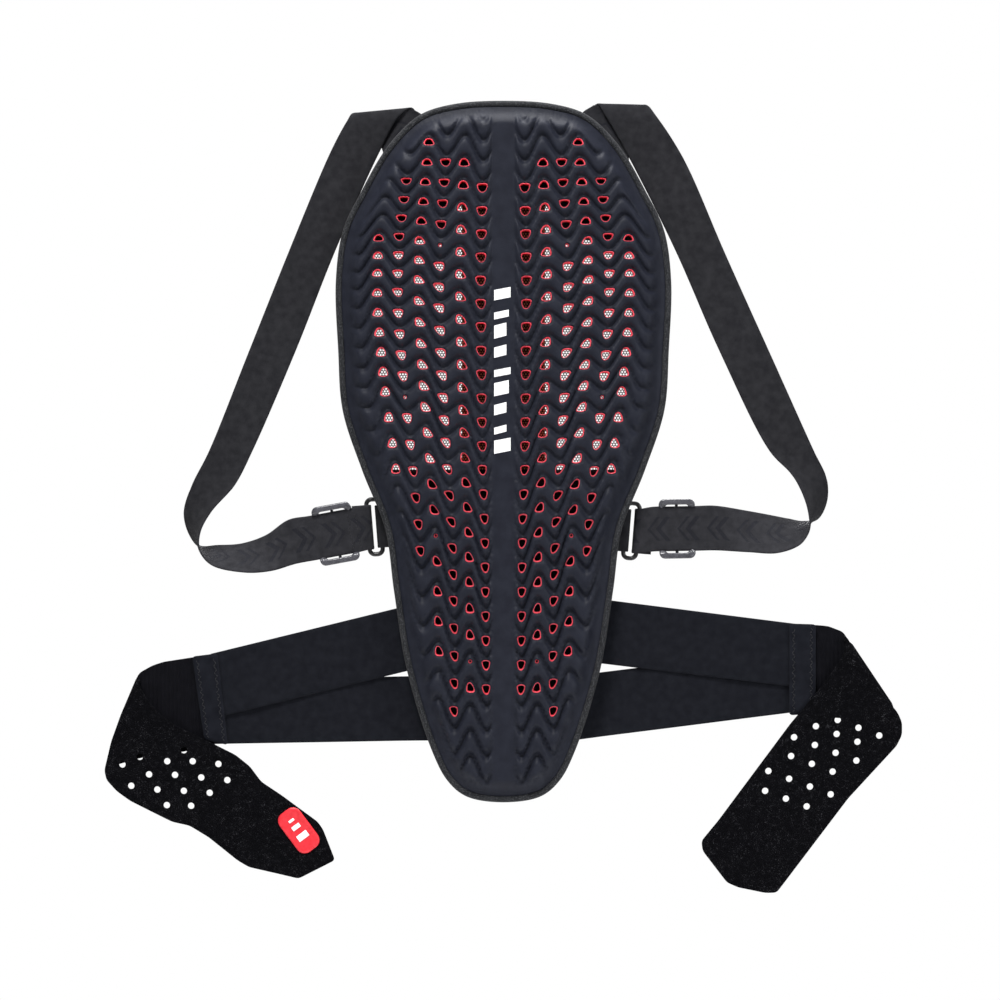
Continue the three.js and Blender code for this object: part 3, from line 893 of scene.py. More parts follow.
def panel(name, low, high, depth, thickness, limit=None, step=4.0, relief=None, inset_by=4.5):
    """A closed fabric panel between two height functions, cushioned by relief(x, z)."""
    across = 61
    rows = int((high(0) - low(0)) / step) + 2
    front, back = [], []
    for i in range(rows):
        t = i / (rows - 1)
        for j in range(across):
            u = -1 + 2 * j / (across - 1)
            z = low(LOWEST_EDGE) * (1 - t) + high(LOWEST_EDGE) * t
            half = float(half_width(z, inset_by)) if limit is None else limit
            x = u * half
            z = low(x) * (1 - t) + high(x) * t
            half = float(half_width(z, inset_by)) if limit is None else limit
            x = float(np.clip(x, -half, half))
            puff = relief(x, z, half) if relief else 0.0
            y = depth + float(sweep(np.array(x)))
            front.append((x, y - thickness / 2, z))
            back.append((x, y + thickness / 2 + puff, z))
    verts = front + back
    faces = []
    total = len(front)
    for i in range(rows - 1):
        for j in range(across - 1):
            a = i * across + j
            quad = (a, a + 1, a + across + 1, a + across)
            faces += [quad, tuple(q + total for q in quad[::-1])]
    border = ([j for j in range(across)] + [i * across + across - 1 for i in range(1, rows)]
              + [(rows - 1) * across + j for j in range(across - 2, -1, -1)]
              + [i * across for i in range(rows - 2, 0, -1)])
    for i, a in enumerate(border):
        b = border[(i + 1) % len(border)]
        faces.append((b, a, a + total, b + total))
    return outward_faces(new_mesh(name, verts, faces))


def make_panels(tape):
    edge_low = PLATE_LOOP[:, 1].min() + 0.6
    edge_high = PLATE_LOOP[:, 1].max() - 0.6
    thick = 1.2
    depth = PANEL_BACK - thick / 2

    def ribs(x, z, half):
        ridge = 0.5 + 0.5 * math.cos(2 * math.pi * z / 11)
        edge = min(max(half - abs(x), 0), 8) / 8
        return 1.1 * (ridge ** 2) * edge * (1 if abs(x) > 31 else 0)

    lumbar = panel("lumbar_lining", lambda x: edge_low, lambda x: LUMBAR_TOP, depth, thick, relief=ribs)
    yoke = panel("yoke_lining", lambda x: float(yoke_bottom(x)), lambda x: edge_high, depth, thick,
                 relief=ribs)
    for obj, node in ((lumbar, "lumbar_panel"), (yoke, "yoke_panel")):
        finish_piece(obj, LINING, "lining", node, body="root")
        hem = [tape] if obj is lumbar else []
        declare_sheet(obj, *extent(obj), "stretched", ["red_core"], thick=True, with_pieces=hem)


def inflate(obj, pinned, cap, pressure=40.0, growth=0.02, frames=20):
    """Puffs a closed piece up between its pinned seams with a short cloth simulation."""
    rest = np.array([v.co for v in obj.data.vertices])
    group = obj.vertex_groups.new(name="seams")
    group.add(pinned, 1.0, "REPLACE")
    cloth = obj.modifiers.new("puff", "CLOTH")
    cloth.settings.vertex_group_mass = "seams"
    cloth.settings.use_pressure = True
    cloth.settings.uniform_pressure_force = pressure
    cloth.settings.shrink_min = -growth
    cloth.settings.effector_weights.gravity = 0
    cloth.collision_settings.use_collision = False
    cloth.point_cache.frame_start = 1
    cloth.point_cache.frame_end = frames
    scene = bpy.context.scene
    for number in range(1, frames + 1):
        scene.frame_set(number)
    shaped = obj.evaluated_get(bpy.context.evaluated_depsgraph_get())
    moved = np.array([v.co for v in shaped.data.vertices]) - rest
    obj.modifiers.remove(cloth)
    scene.frame_set(1)
    size = np.linalg.norm(moved, axis=1)[:, None] + 1e-9
    place = rest + moved / size * cap * np.tanh(size / cap)
    for v, co in zip(obj.data.vertices, place):
        v.co = co
    obj.data.update()


def make_spine_liner():
    """Padded channel down the middle, puffed between its cross seams."""
    low, high, half = -232.0, 224.0, 32.0
    seams = 9
    pitch = (high - low) / seams
    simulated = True

    def puff(x, z, _):
        across = max(1 - (abs(x) / (half - 2)) ** 4, 0)
        seam = abs(math.sin(math.pi * (z - low) / pitch)) ** 0.5
        return 0.2 + (0.3 if simulated else 3.4) * across * seam

    obj = panel("spine_lining", lambda x: low, lambda x: high, -1.6, 1.4, limit=half, step=4.2, relief=puff)
    if simulated:
        pinned = []
        for v in obj.data.vertices:
            x, z = v.co.x / MM, v.co.z / MM
            to_seam = abs((z - low + pitch / 2) % pitch - pitch / 2)
            if v.co.y / MM < -1.4 + float(sweep(np.array(x))) or to_seam < 2.2 or abs(x) > half - 2.5:
                pinned.append(v.index)
        inflate(obj, pinned, 3.4 * MM)
    finish_piece(obj, LINING, "lining", "spine_liner", body="root")
    obj.data.materials.append(TAN)
    for face in obj.data.polygons:
        if face.normal.y < -0.7:
            face.material_index = 1
    declare_sheet(obj, 0.064, 0.456, "stretched", ["lumbar_lining", "yoke_lining"], thick=True)
    return obj


# ---------------------------------------------------------------- binding and spine graphic

def make_binding():
    """Woven tape folded over the pad's edge: a rounded lip with flatter faces front and back."""
    sections, along = [], []
    path = inset(OUTER, 2.8)
    count = len(path)
    out = outward(path)
    ring = 20
    step = np.linalg.norm(np.roll(path, -1, axis=0) - path, axis=1)
    travel = np.concatenate([[0], np.cumsum(step)])[:count]
    for i in range(count):
        x, z = path[i]
        y = -7 + float(sweep(np.array(x)))
        section = []
        for j in range(ring):
            a = 2 * math.pi * j / ring
            c, s = math.cos(a), math.sin(a)
            wide = 2.8 * math.copysign(abs(c) ** 0.75, c)
            deep = 5.5 * math.copysign(abs(s) ** 0.8, s)
            pucker = 0.12 * math.sin(travel[i] / 4.1) * max(-c, 0)
            reach = wide + pucker
            section.append((x + out[i][0] * reach, y - deep, z + out[i][1] * reach))
        sections.append(section)
        along.append(travel[i])
    uv_v = [j * 0.9 for j in range(ring)]
    obj = loft("edge_tape", sections, along, uv_v, close=True, caps=False)
    finish_piece(obj, BINDING, "binding_tape", "edge_binding", body="root")
    return obj


def stitch_row(name, path, length, gap, radius):
    """Short raised stitches laid along a path of (x, y, z) points, in one mesh."""
    p = np.array(path, float)
    s = lengths(p)
    verts, faces = [], []
    for start in np.arange(gap / 2, s[-1] - length, length + gap):
        places = [[np.interp(start + length * k, s, p[:, i]) for i in range(3)] for k in (0, 0.3, 0.7, 1)]
        add_bead(verts, faces, [np.array(q) for q in places], radius)
    obj = outward_faces(new_mesh(name, verts, faces))
    obj.data.materials.append(THREAD)
    return obj


def add_bead(verts, faces, points, radius, sides=6):
    along = points[-1] - points[0]
    along = along / max(np.linalg.norm(along), 1e-9)
    up = np.array([0, 1.0, 0]) if abs(along[1]) < 0.8 else np.array([1.0, 0, 0])
    right = np.cross(along, up)
    right /= np.linalg.norm(right)
    up = np.cross(right, along)
    base = len(verts)
    scale = [0.45, 1, 1, 0.45]
    for point, k in zip(points, scale):
        for j in range(sides):
            a = 2 * math.pi * j / sides
            verts.append(tuple(point + radius * k * (math.cos(a) * right + math.sin(a) * up)))
    rows = len(points)
    for i in range(rows - 1):
        for j in range(sides):
            a, b = base + i * sides + j, base + i * sides + (j + 1) % sides
            faces.append((a, b, b + sides, a + sides))
    faces.append(tuple(base + j for j in range(sides))[::-1])
    faces.append(tuple(base + (rows - 1) * sides + j for j in range(sides)))


def make_graphic():
    """A generic row of slanted bars printed up the spine."""
    verts, faces = [], []
    low, high, count = -2.0, 130.0, 9
    pitch = (high - low) / count
    for i in range(count):
        z = low + i * pitch
        tall = pitch * (0.95, 0.5, 0.75)[i % 3]
        left, right = -7.2, (5.4, 2.2, 2.2, 4.0)[i % 4]
        slant = 2.4
        corners = [(left, z), (right, z + slant), (right, z + slant + tall * 0.72), (left, z + tall * 0.72)]
        top = [grid_point(corners, a, b) for b in np.linspace(0, 1, 4) for a in np.linspace(0, 1, 4)]
        base = len(verts)
        for lift in (0.35, 0.05):
            verts += [(x, SPINE_FRONT - lift, z2) for x, z2 in top]
        for r in range(3):
            for c in range(3):
                a = base + r * 4 + c
                quad = (a, a + 1, a + 5, a + 4)
                faces += [quad, tuple(q + 16 for q in quad[::-1])]
        border = [0, 1, 2, 3, 7, 11, 15, 14, 13, 12, 8, 4]
        for k, a in enumerate(border):
            b = border[(k + 1) % 12]
            faces.append((base + b, base + a, base + a + 16, base + b + 16))
    obj = outward_faces(new_mesh("spine_graphic", verts, faces, smooth_shade=False))
    obj.data.materials.append(PRINT)
    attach(obj, "root")
    return obj


def grid_point(corners, a, b):
    c = np.array(corners, float)
    low = c[0] * (1 - a) + c[1] * a
    high = c[3] * (1 - a) + c[2] * a
    return tuple(low * (1 - b) + high * b)


# ---------------------------------------------------------------- straps and webbing

def ribbon_sections(pairs, thickness, per, wave=None):
    """Rings of points round a strap whose two edges pass through pairs of points."""
    a = catmull([p[0] for p in pairs], per)
    b = catmull([p[1] for p in pairs], per)
    middle = (a + b) / 2
    tangent = np.gradient(middle, axis=0)
    normal = np.cross(b - a, tangent)
    normal /= np.linalg.norm(normal, axis=1)[:, None]
    if normal[0][1] > 0:
        normal = -normal
    travel = lengths(middle)
    profile = [(-0.995, 0.35), (-0.96, 0.95), (-0.9, 1.1), (-0.8, 0.95), (-0.4, 1.0), (0.0, 1.0),
               (0.4, 1.0), (0.8, 0.95), (0.9, 1.1), (0.96, 0.95), (0.995, 0.35)]
    sections = []
    for i in range(len(a)):
        half = (b[i] - a[i]) / 2
        lift = normal[i] * (wave(travel[i]) if wave else 0)
        front = [middle[i] + half * v + normal[i] * h * thickness / 2 + lift for v, h in profile]
        back = [middle[i] + half * v - normal[i] * h * thickness / 2 + lift for v, h in profile[::-1]]
        sections.append(front + back)
    across = [v for v, _ in profile] + [v for v, _ in profile[::-1]]
    width = float(np.linalg.norm(b - a, axis=1).mean())
    return sections, travel, [v * width / 2 for v in across], width


def ribbon_piece(name, pairs, thickness, per, material, back=None, wave=None, start=0.0):
    sections, travel, across, width = ribbon_sections(pairs, thickness, per, wave)
    obj = loft(name, sections, travel + start, across, close=False, caps=True)
    obj.data.materials.append(material)
    if back:
        obj.data.materials.append(back)
        half = len(across) // 2
        for k, polygon in enumerate(obj.data.polygons):
            column = k % len(across)
            if column >= half and k < (len(sections) - 1) * len(across):
                polygon.material_index = 1
    obj["flat_width"], obj["flat_length"] = width * MM, float(travel[-1]) * MM
    return obj


def out(side, x, y, z):
    return np.array([side * x, y, z], float)


STRAP_BACK = weave_material("strap_inner", (0.010, 0.010, 0.012), (0.026, 0.026, 0.029),
                            (1.0, 0.8), 0.12).material

STRAP_HALF = 17.4
WRAP_RADIUS = 2.9
RING_DEPTH = 9.5
RING_LEAN = math.radians(4.5)
RING_HALF_SPACING = 5.0
RING_ROD = 1.75
BAR_DEPTH = 10.8

# Outboard is positive here; each side's own points are mirrored into place.
LOOPS = {
    "left": {
        "ring": (99.7, -58), "run": (104, -58.6, math.radians(-10.5)), "slider": (26, 31),
        "tail": [(90, 196, 54, 206, 3.4), (93, 212, 55, 226, 6.5), (93, 230, 56, 245, 9.8),
                 (102, 250, 61, 259, 10.6), (116.5, 260.4, 69.5, 264.8, 9.6)],
        "descent": [
            (111, 10.4, 257, 67.5, 10.4, 262.5), (117, 8.9, 261.2, 70.2, 8.9, 265.6),
            (121, 7.3, 255.5, 80, 7.3, 259.5), (133.6, 8, 232, 95.5, 8, 232),
            (165.9, 8.5, 155, 130, 8.5, 155), (196.7, 8.5, 78, 160.5, 8.5, 78),
            (227.5, 9, 1, 193.7, 8, 1), (241.8, 12, -27, 207.5, 4, -26), (248, 18, -48, 225, -3, -46.5),
            (243.5, 23, -65, 233.2, -7, -62), (236.5, 24, -73, 233.6, -9, -75),
            (222, 21, -72.5, 224.5, -9, -87), (203, 17, -71, 199, -8, -93), (184, 12, -64.5, 179, -3, -92),
        ],
    },
    "right": {
        "ring": (98.9, -61), "run": (103.5, -60, math.radians(1)), "slider": (30.5, 28),
        "tail": [(101, 194, 62, 202, 3.4), (100, 210, 60, 220, 6.5), (97, 228, 57, 240, 9.8),
                 (101, 252, 60, 261, 10.6), (110, 266.8, 69.5, 268, 9.6)],
        "descent": [
            (107, 10.4, 263.5, 67.5, 10.4, 265), (111, 8.9, 267.6, 72, 8.9, 268.6),
            (118, 7.3, 259.5, 78.5, 7.3, 259.5), (139, 8, 227, 97, 8, 227),
            (170.6, 8.5, 155, 133, 8.5, 155), (205.2, 8.5, 78, 166.7, 8.5, 78),
            (239.9, 9, 1, 205.2, 8, 1), (250, 12, -20, 222.5, 2, -18), (251, 19, -38, 232, -6, -38),
            (244, 24, -52, 235, -9, -52), (233, 24, -54, 235, -9, -60), (221, 21, -51.8, 228.5, -9, -71),
            (207, 16, -49, 211, -8, -78), (188, 10, -45.5, 188, -3, -77.5),
        ],
    },
}


def strap_pairs(side, loop):
    ring_x, ring_z = loop["ring"]
    run_x, run_z, angle = loop["run"]
    along = out(side, math.cos(angle), 0, math.sin(angle))
    up = out(side, -math.sin(angle), 0, math.cos(angle))
    lean_up = out(side, math.sin(RING_LEAN), 0, math.cos(RING_LEAN))
    lean_out = out(side, math.cos(RING_LEAN), 0, -math.sin(RING_LEAN))
    pairs = [(out(side, ax, ay, az), out(side, bx, by, bz)) for ax, ay, az, bx, by, bz in loop["descent"]]
    run = out(side, run_x, RING_DEPTH - WRAP_RADIUS, run_z)
    for distance in (60, 44, 26, 12):
        centre = run + along * distance
        pairs.append((centre + up * STRAP_HALF, centre - up * STRAP_HALF))
    bar = out(side, ring_x, RING_DEPTH, ring_z) + lean_out * RING_HALF_SPACING
    for degrees, reach in ((-90, 0), (-45, 0), (0, 0), (45, 0), (90, 0), (90, 6), (90, 11.5)):
        turn = math.radians(degrees)
        centre = bar + lean_out * (reach - WRAP_RADIUS * math.cos(turn))
        centre = centre + np.array([0, WRAP_RADIUS * math.sin(turn), 0])
        pairs.append((centre + lean_up * STRAP_HALF, centre - lean_up * STRAP_HALF))
    return pairs


def make_strap_stitches(side, loop):
    """Two rows of stitches across the strap between its ring and its slider."""
    run_x, run_z, angle = loop["run"]
    along = out(side, math.cos(angle), 0, math.sin(angle))
    up = out(side, -math.sin(angle), 0, math.cos(angle))
    rows = []
    for distance in (8.5, 14.5):
        centre = out(side, run_x, RING_DEPTH - WRAP_RADIUS - 0.95, run_z) + along * distance
        rows.append(stitch_row("rows", [centre - up * 15, centre + up * 15], 1.9, 0.9, 0.3))
    seam = join_objects(rows)
    seam.name = "strap_seam_left"
    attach(seam, "loop_left")
    return [seam]


def make_straps(name, side):
    loop = LOOPS[name]
    strap = ribbon_piece("shoulder_elastic_" + name, strap_pairs(side, loop), 1.5, 9, SHOULDER, STRAP_BACK,
                         lambda s: 0.35 * math.sin(s / 23) * min(s / 60, 1) * (s < 330))
    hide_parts("shoulder_strap_" + name)
    stitches = make_strap_stitches(side, loop) if name == "left" else []
    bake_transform(strap)
    tail_pairs = [(out(side, ax, depth, az), out(side, bx, depth, bz))
                  for ax, az, bx, bz, depth in loop["tail"]]
    tail = ribbon_piece("shoulder_tail_" + name, tail_pairs, 1.5, 10, SHOULDER, STRAP_BACK)
    finish_plain(tail, "strap_elastic", "root", "strap_tail_" + name)


def finish_plain(obj, slot, body, *nodes):
    if nodes:
        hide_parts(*nodes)
    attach(obj, body)
    return obj


def rounded_rectangle(half_w, half_h, corner, per_corner=10):
    points = []
    for cx, cz, begin in ((1, 1, 0), (-1, 1, 90), (-1, -1, 180), (1, -1, 270)):
        for k in range(per_corner + 1):
            a = math.radians(begin + 90 * k / per_corner)
            x = cx * (half_w - corner) + corner * math.cos(a)
            z = cz * (half_h - corner) + corner * math.sin(a)
            points.append((x, z))
    return np.array(points)


def frame_to(side, centre, angle, depth=0.0):
    """A function that puts local (x outboard, y, z) points into place on one side."""
    cx, cz = centre

    def put(x, y, z):
        return out(side, cx + x * math.cos(angle) - z * math.sin(angle), depth + y,
                   cz + x * math.sin(angle) + z * math.cos(angle))
    return put


def make_ring(name, side):
    put = frame_to(side, LOOPS[name]["ring"], -RING_LEAN)
    path = resample(rounded_rectangle(RING_HALF_SPACING, 21.25, 4), 120, closed=True)
    normal = outward(path)
    sections = []
    for (x, z), (nx, nz) in zip(path, normal):
        sections.append([put(x + nx * RING_ROD * math.cos(a), RING_DEPTH + RING_ROD * math.sin(a),
                             z + nz * RING_ROD * math.cos(a))
                         for a in np.linspace(0, 2 * math.pi, 17)[:-1]])
    obj = loft("wire_ring_" + name, sections, close=True, caps=False)
    finish_piece(obj, METAL, "coated_metal", "strap_ring_" + name, body="loop_" + name)


EYE_WIDTH = 33.0
EYE_CLOTH_WIDTH = 33.4
EYE_GAP_ANGLE = 205
EYE_ACROSS = [v * EYE_WIDTH / 2 for v in (-1, -0.96, 0, 0.96, 1, 1, 0.96, 0, -0.96, -1)]


def eye_sections(inner, thickness, reach, gap_angle, height, put, steps=26):
    """A strip wound round a bar and sewn to itself: closed rings up its height."""
    middle = inner + thickness / 2
    angles = np.radians(np.linspace(-90, gap_angle, steps))
    centre = [(-reach, -middle), (-reach * 0.5, -middle)]
    centre += [(middle * math.cos(a), middle * math.sin(a)) for a in angles]
    last = centre[-1]
    centre += [(last[0] - 2.5, -middle + thickness * 1.02), (-reach, -middle + thickness * 1.02)]
    path = resample(np.array(centre), 70)
    along = np.gradient(path, axis=0)
    along /= np.linalg.norm(along, axis=1)[:, None]
    normal = np.column_stack([along[:, 1], -along[:, 0]])
    sections = []
    for p, n in zip(path, normal):
        ring = []
        for v, h in ((-1, 0.5), (-0.96, 1), (0, 1), (0.96, 1), (1, 0.5)):
            ring.append((p + n * h * thickness / 2 * 0.96, v))
        for v, h in ((1, 0.5), (0.96, 1), (0, 1), (-0.96, 1), (-1, 0.5)):
            ring.append((p - n * h * thickness / 2 * 0.96, v))
        sections.append([put(q[0], q[1], v * height / 2) for q, v in ring])
    return sections, lengths(path)


def make_ring_tab(name, side):
    ring_x, ring_z = LOOPS[name]["ring"]
    centre = (ring_x - RING_HALF_SPACING * math.cos(RING_LEAN),
              ring_z + RING_HALF_SPACING * math.sin(RING_LEAN))
    put = frame_to(side, centre, -RING_LEAN, RING_DEPTH)
    sections, travel = eye_sections(RING_ROD + 0.5, 1.6, 32, EYE_GAP_ANGLE, EYE_WIDTH, put)
    obj = loft("ring_webbing_" + name, sections, travel, EYE_ACROSS, close=False, caps=True)
    finish_piece(obj, STRAP_BACK, "strap_elastic", "ring_tab_" + name, body="root")
    declare_sheet(obj, EYE_CLOTH_WIDTH * MM, travel[-1] * MM, "folded", ["lumbar_lining"], thick=True)


RAIL_DROP = 4.4
SLIDER_HEIGHT = 46


def make_slider(name, side):
    run_x, run_z, angle = LOOPS[name]["run"]
    reach, length = LOOPS[name]["slider"]
    centre = (run_x + reach * math.cos(angle), run_z + reach * math.sin(angle))
    put = frame_to(side, centre, angle)
    outer = resample(rounded_rectangle(length / 2, SLIDER_HEIGHT / 2, 4.5, 12), 160, closed=True)
    inner = resample(rounded_rectangle(length / 2 - 5, SLIDER_HEIGHT / 2 - 4.4, 2.2, 12), 160, closed=True)
    shift = np.argmin(np.linalg.norm(inner - outer[0] * 0.8, axis=1))
    inner = np.roll(inner, -shift, axis=0)
    sections = []
    for o, i in zip(outer, inner):
        across = i - o
        ring = []
        for share, depth in ((0.0, 4.1), (0.06, 3.35), (0.22, 3.0), (0.78, 3.0), (0.94, 3.35), (1.0, 4.1),
                             (0.92, 4.9), (0.75, 5.1), (0.25, 5.1), (0.08, 4.9)):
            x, z = o + across * share
            behind = RAIL_DROP * float(smooth((SLIDER_HEIGHT / 2 - 4.6 - abs(z)) / 2.6))
            ring.append(put(x, depth + behind, z))
        sections.append(ring)
    body = loft("slider_frame_" + name, sections, close=True, caps=False)
    parts = [body]
    for sign in (-1, 1):
        middle = (0, 7.9, sign * (SLIDER_HEIGHT / 2 - 2.2))
        parts.append(rounded_block("rail", put, middle, (length * 0.3, 4.0, 2.1), 0.9))
    parts.append(bar_piece("bar", put, 1.2, SLIDER_HEIGHT / 2 - 1))
    slider = join_objects(parts)
    finish_piece(slider, PLASTIC, "slider_plastic", "strap_slider_" + name, body="slider_" + name)

    def flip(x, y, z):
        return put(x, BAR_DEPTH - y, z)

    sections, travel = eye_sections(1.7, 1.4, 9, EYE_GAP_ANGLE, EYE_WIDTH, flip)
    end = loft("sewn_end_" + name, sections, travel, EYE_ACROSS, close=False, caps=True)
    finish_piece(end, STRAP_BACK, "strap_elastic", "strap_end_" + name, body="slider_" + name)
    declare_sheet(end, EYE_CLOTH_WIDTH * MM, travel[-1] * MM, "folded", ["slider_frame_" + name], thick=True)


def rounded_block(name, put, centre, half, radius):
    bm = bmesh.new()
    bmesh.ops.create_cube(bm, size=2)
    bmesh.ops.scale(bm, vec=half, verts=bm.verts)
    bmesh.ops.bevel(bm, geom=bm.edges[:] + bm.verts[:], offset=radius, segments=4, profile=0.5,
                    affect="EDGES")
    verts = [put(v.co.x + centre[0], v.co.y + centre[1], v.co.z + centre[2]) for v in bm.verts]
    bm.verts.index_update()
    faces = [[v.index for v in f.verts] for f in bm.faces]
    bm.free()
    return outward_faces(new_mesh(name, verts, faces))


def bar_piece(name, put, radius, half):
    ring = np.linspace(0, 2 * math.pi, 21)[:-1]
    sections = []
    for z in np.linspace(-half, half, 9):
        sections.append([put(radius * math.cos(a), BAR_DEPTH + radius * math.sin(a), z) for a in ring])
    return loft(name, sections, close=False, caps=True)


def join_objects(parts):
    first = parts[0]
    bm = bmesh.new()
    for part in parts:
        bm.from_mesh(part.data)
    bm.to_mesh(first.data)
    bm.free()
    for part in parts[1:]:
        bpy.data.objects.remove(part)
    return first


# ---------------------------------------------------------------- kidney belt

BELTS = {
    "left": {
        "upper": ((-121.6, -172.3), (-155.9, -206.6)),
        "lower": ((-173.6, -223.6), (-176.5, -226)),
        "join": [(212.5, -226.3), (231, -222), (240.2, -158.0), (220.5, -155.6)],
        "wing": [
            (222, -226.5), (231, -228.5), (246, -231.4), (280, -236.4), (303, -243), (285, -178),
            (281, -170.6), (271, -165), (262.4, -162.2), (238.9, -158.6), (228, -157),
        ],
        "closure": [
            (282.3, -173.3), (279.8, -182.1), (274.2, -191), (266.8, -200.5), (253.6, -210.8),
            (232.9, -220.4), (206.4, -233.7), (195.4, -242.5), (186.6, -254.3), (171.1, -264.6),
            (143.1, -285.2), (139, -291.1), (129.8, -314.7), (157.8, -328.9), (171.1, -325.7),
            (196.1, -320), (205, -314.7), (227.1, -297), (241.8, -288.1), (255, -285.2),
            (269.8, -277.9), (287.5, -269), (297.8, -261.6), (305.8, -252.8), (307.4, -245.5),
            (302.2, -223.4), (294.8, -202.7),
        ],
        "fold": [(282.3, -173.3), (307.4, -245.5)],
        "holes": [
            (293.5, -241), (280.1, -235.1), (259, -238.5), (246.2, -230), (239.4, -238.5), (219.6, -240.6),
            (273, -248.6), (253, -249), (232.8, -251), (212.7, -253), (286.7, -257.4), (266.6, -260.3),
            (246.2, -261.3), (226.3, -262.8), (259.3, -272.3), (240.6, -272.8),
        ],
    },
    "right": {
        "upper": ((-115.1, -164.9), (-132.8, -181.9)),
        "lower": ((-169, -218.9), (-151.7, -201.2)),
        "join": [(220.5, -203.4), (241, -202), (241, -133.2), (220.5, -132.6)],
        "wing": [
            (228, -203), (240, -204), (302.5, -209.5), (268, -148), (262, -139), (250.6, -134.6),
            (241, -133.8), (228, -133.5),
        ],
        "closure": [
            (264, -142), (263.2, -150), (261.2, -158), (254.9, -167.2), (244.2, -182),
            (220.9, -209.7), (165.6, -284), (152.5, -299.9), (153.3, -307.4), (172, -331.8),
            (180.5, -335.6), (201.7, -339.9), (210.3, -339.7), (215.6, -332.8), (265.5, -267),
            (302.7, -226.7), (306.9, -218.1), (306.9, -208.6), (303.7, -201.2), (283.5, -175.7),
        ],
        "fold": [(264, -142), (303.7, -201.2)],
        "rows": [
            (204, -246, 4), (201.5, -261.3, 3), (221.5, -234.5, 3), (223.8, -220, 4),
            (240.6, -211.5, 3), (257.4, -206.7, 3),
        ],
    },
}
BAND_DEPTH = {"upper": 5.5, "lower": 7.9}
HINGE_X = 86
HOLE_RADIUS = 2.5


def soften(points, radius=2.6, per=6):
    """A polygon with its corners rounded off, as a fine loop."""
    p = np.array(points, float)
    loop = []
    for i, here in enumerate(p):
        before, after = p[i - 1], p[(i + 1) % len(p)]
        da, db = np.linalg.norm(before - here), np.linalg.norm(after - here)
        r = min(radius, 0.48 * da, 0.48 * db)
        start, end = here + (before - here) * r / da, here + (after - here) * r / db
        for k in range(per + 1):
            t = k / per
            loop.append((1 - t) ** 2 * start + 2 * t * (1 - t) * here + t ** 2 * end)
    return np.array(loop)


def signed_area(loop):
    x, z = loop[:, 0], loop[:, 1]
    return 0.5 * float((x * np.roll(z, -1) - np.roll(x, -1) * z).sum())


def fabric_piece(name, outline, thickness, back, side, holes=(), pitch=2.0, lift=None, edge=0.5):
    """A flat piece with rounded edges, cut to an outline, its face raised by lift(x, z)."""
    if signed_area(outline) < 0:
        outline = outline[::-1]
    spacing = 1.5
    count = int(lengths(np.vstack([outline, outline[:1]]))[-1] / spacing)
    rim = resample(outline, count, closed=True)
    circles = [np.array([(x + HOLE_RADIUS * math.cos(a), z + HOLE_RADIUS * math.sin(a))
                         for a in np.linspace(0, 2 * math.pi, 21)[:-1]]) for x, z in holes]
    low, high = rim.min(0), rim.max(0)
    grid = [(x + (i % 2) * pitch / 2, z) for i, z in enumerate(np.arange(low[1], high[1], pitch * 0.866))
            for x in np.arange(low[0], high[0], pitch)]
    inner_rim = inset(rim, edge)
    tree = kdtree.KDTree(len(rim) + 20 * len(circles))
    for i, (x, z) in enumerate(np.vstack([inner_rim] + circles)):
        tree.insert((x, z, 0), i)
    tree.balance()
    free = [p for p in grid if inside_polygon(p, inner_rim) and tree.find((p[0], p[1], 0))[2] > pitch * 0.6
            and not any(np.hypot(*(np.array(p) - c.mean(0))) < HOLE_RADIUS + 0.4 for c in circles)]
    front = back - thickness
    grown_holes = [grown(c, 0.35) for c in circles]

    def face(depth, sign):
        def at(p):
            raised = np.array([lift(x, z) for x, z in p]) if lift else 0
            return depth - sign * raised + 0 * p[:, 0]
        return at

    middle = (front + back) / 2
    obj = perforated_body(name, [inner_rim] + grown_holes, free, face(front, 1),
                          [inner_rim] + grown_holes, face(back, -1),
                          [([rim] + circles, lambda p: middle - thickness * 0.28 + 0 * p[:, 0]),
                           ([rim] + circles, lambda p: middle + thickness * 0.28 + 0 * p[:, 0]),
                           ([inner_rim] + grown_holes, face(back, -0.3))])
    if side < 0:
        for v in obj.data.vertices:
            v.co.x = -v.co.x
        outward_faces(obj)
    return obj


def make_belt(name, side):
    belt = BELTS[name]
    for level in ("upper", "lower"):
        (top, bottom), (tip_top, tip_bottom) = belt[level]
        depth = BAND_DEPTH[level]
        slope = [(tip_top - top) / 140, (tip_bottom - bottom) / 140]
        places = [(45, depth - 4), (62, depth - 1.6), (80, depth), (100, depth), (140, depth), (183, depth),
                  (226, depth)]
        pairs = [(out(side, x, y, top + slope[0] * (x - HINGE_X)),
                  out(side, x, y, bottom + slope[1] * (x - HINGE_X))) for x, y in places]
        turn = 1 if level == "upper" else -1

        def sag(s):
            return 0.28 * turn * math.sin(s / 19) * min(s / 50, 1) * min((185 - s) / 30, 1)

        band = ribbon_piece(f"belt_{level}_{name}", pairs, 1.4, 10, BELT, wave=sag)
        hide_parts(f"belt_anchor_{level}_{name}", f"belt_band_{level}_{name}")
        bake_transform(band)
    join = fabric_piece("join_patch_" + name, soften(belt["join"]), 1.6, 4.2, side, pitch=2.4)
    finish_piece(join, BELT_PATCH, "belt_elastic", "belt_join_" + name, body="belt_" + name)
    seam = make_join_stitches(name, side, belt)
    declare_cut(soften(belt["join"]))
    wing = fabric_piece("wing_ribbed_" + name, soften(belt["wing"]), 2.0, 6.8, side, pitch=1.1,
                        lift=lambda x, z: 0.36 * math.cos(2 * math.pi * x / 3.1) - 0.36)
    finish_piece(wing, RIBBED, "ribbed_elastic", "wing_elastic_" + name, body="belt_" + name)
    declare_cut(soften(belt["wing"]))
    make_closure(name, side, belt)


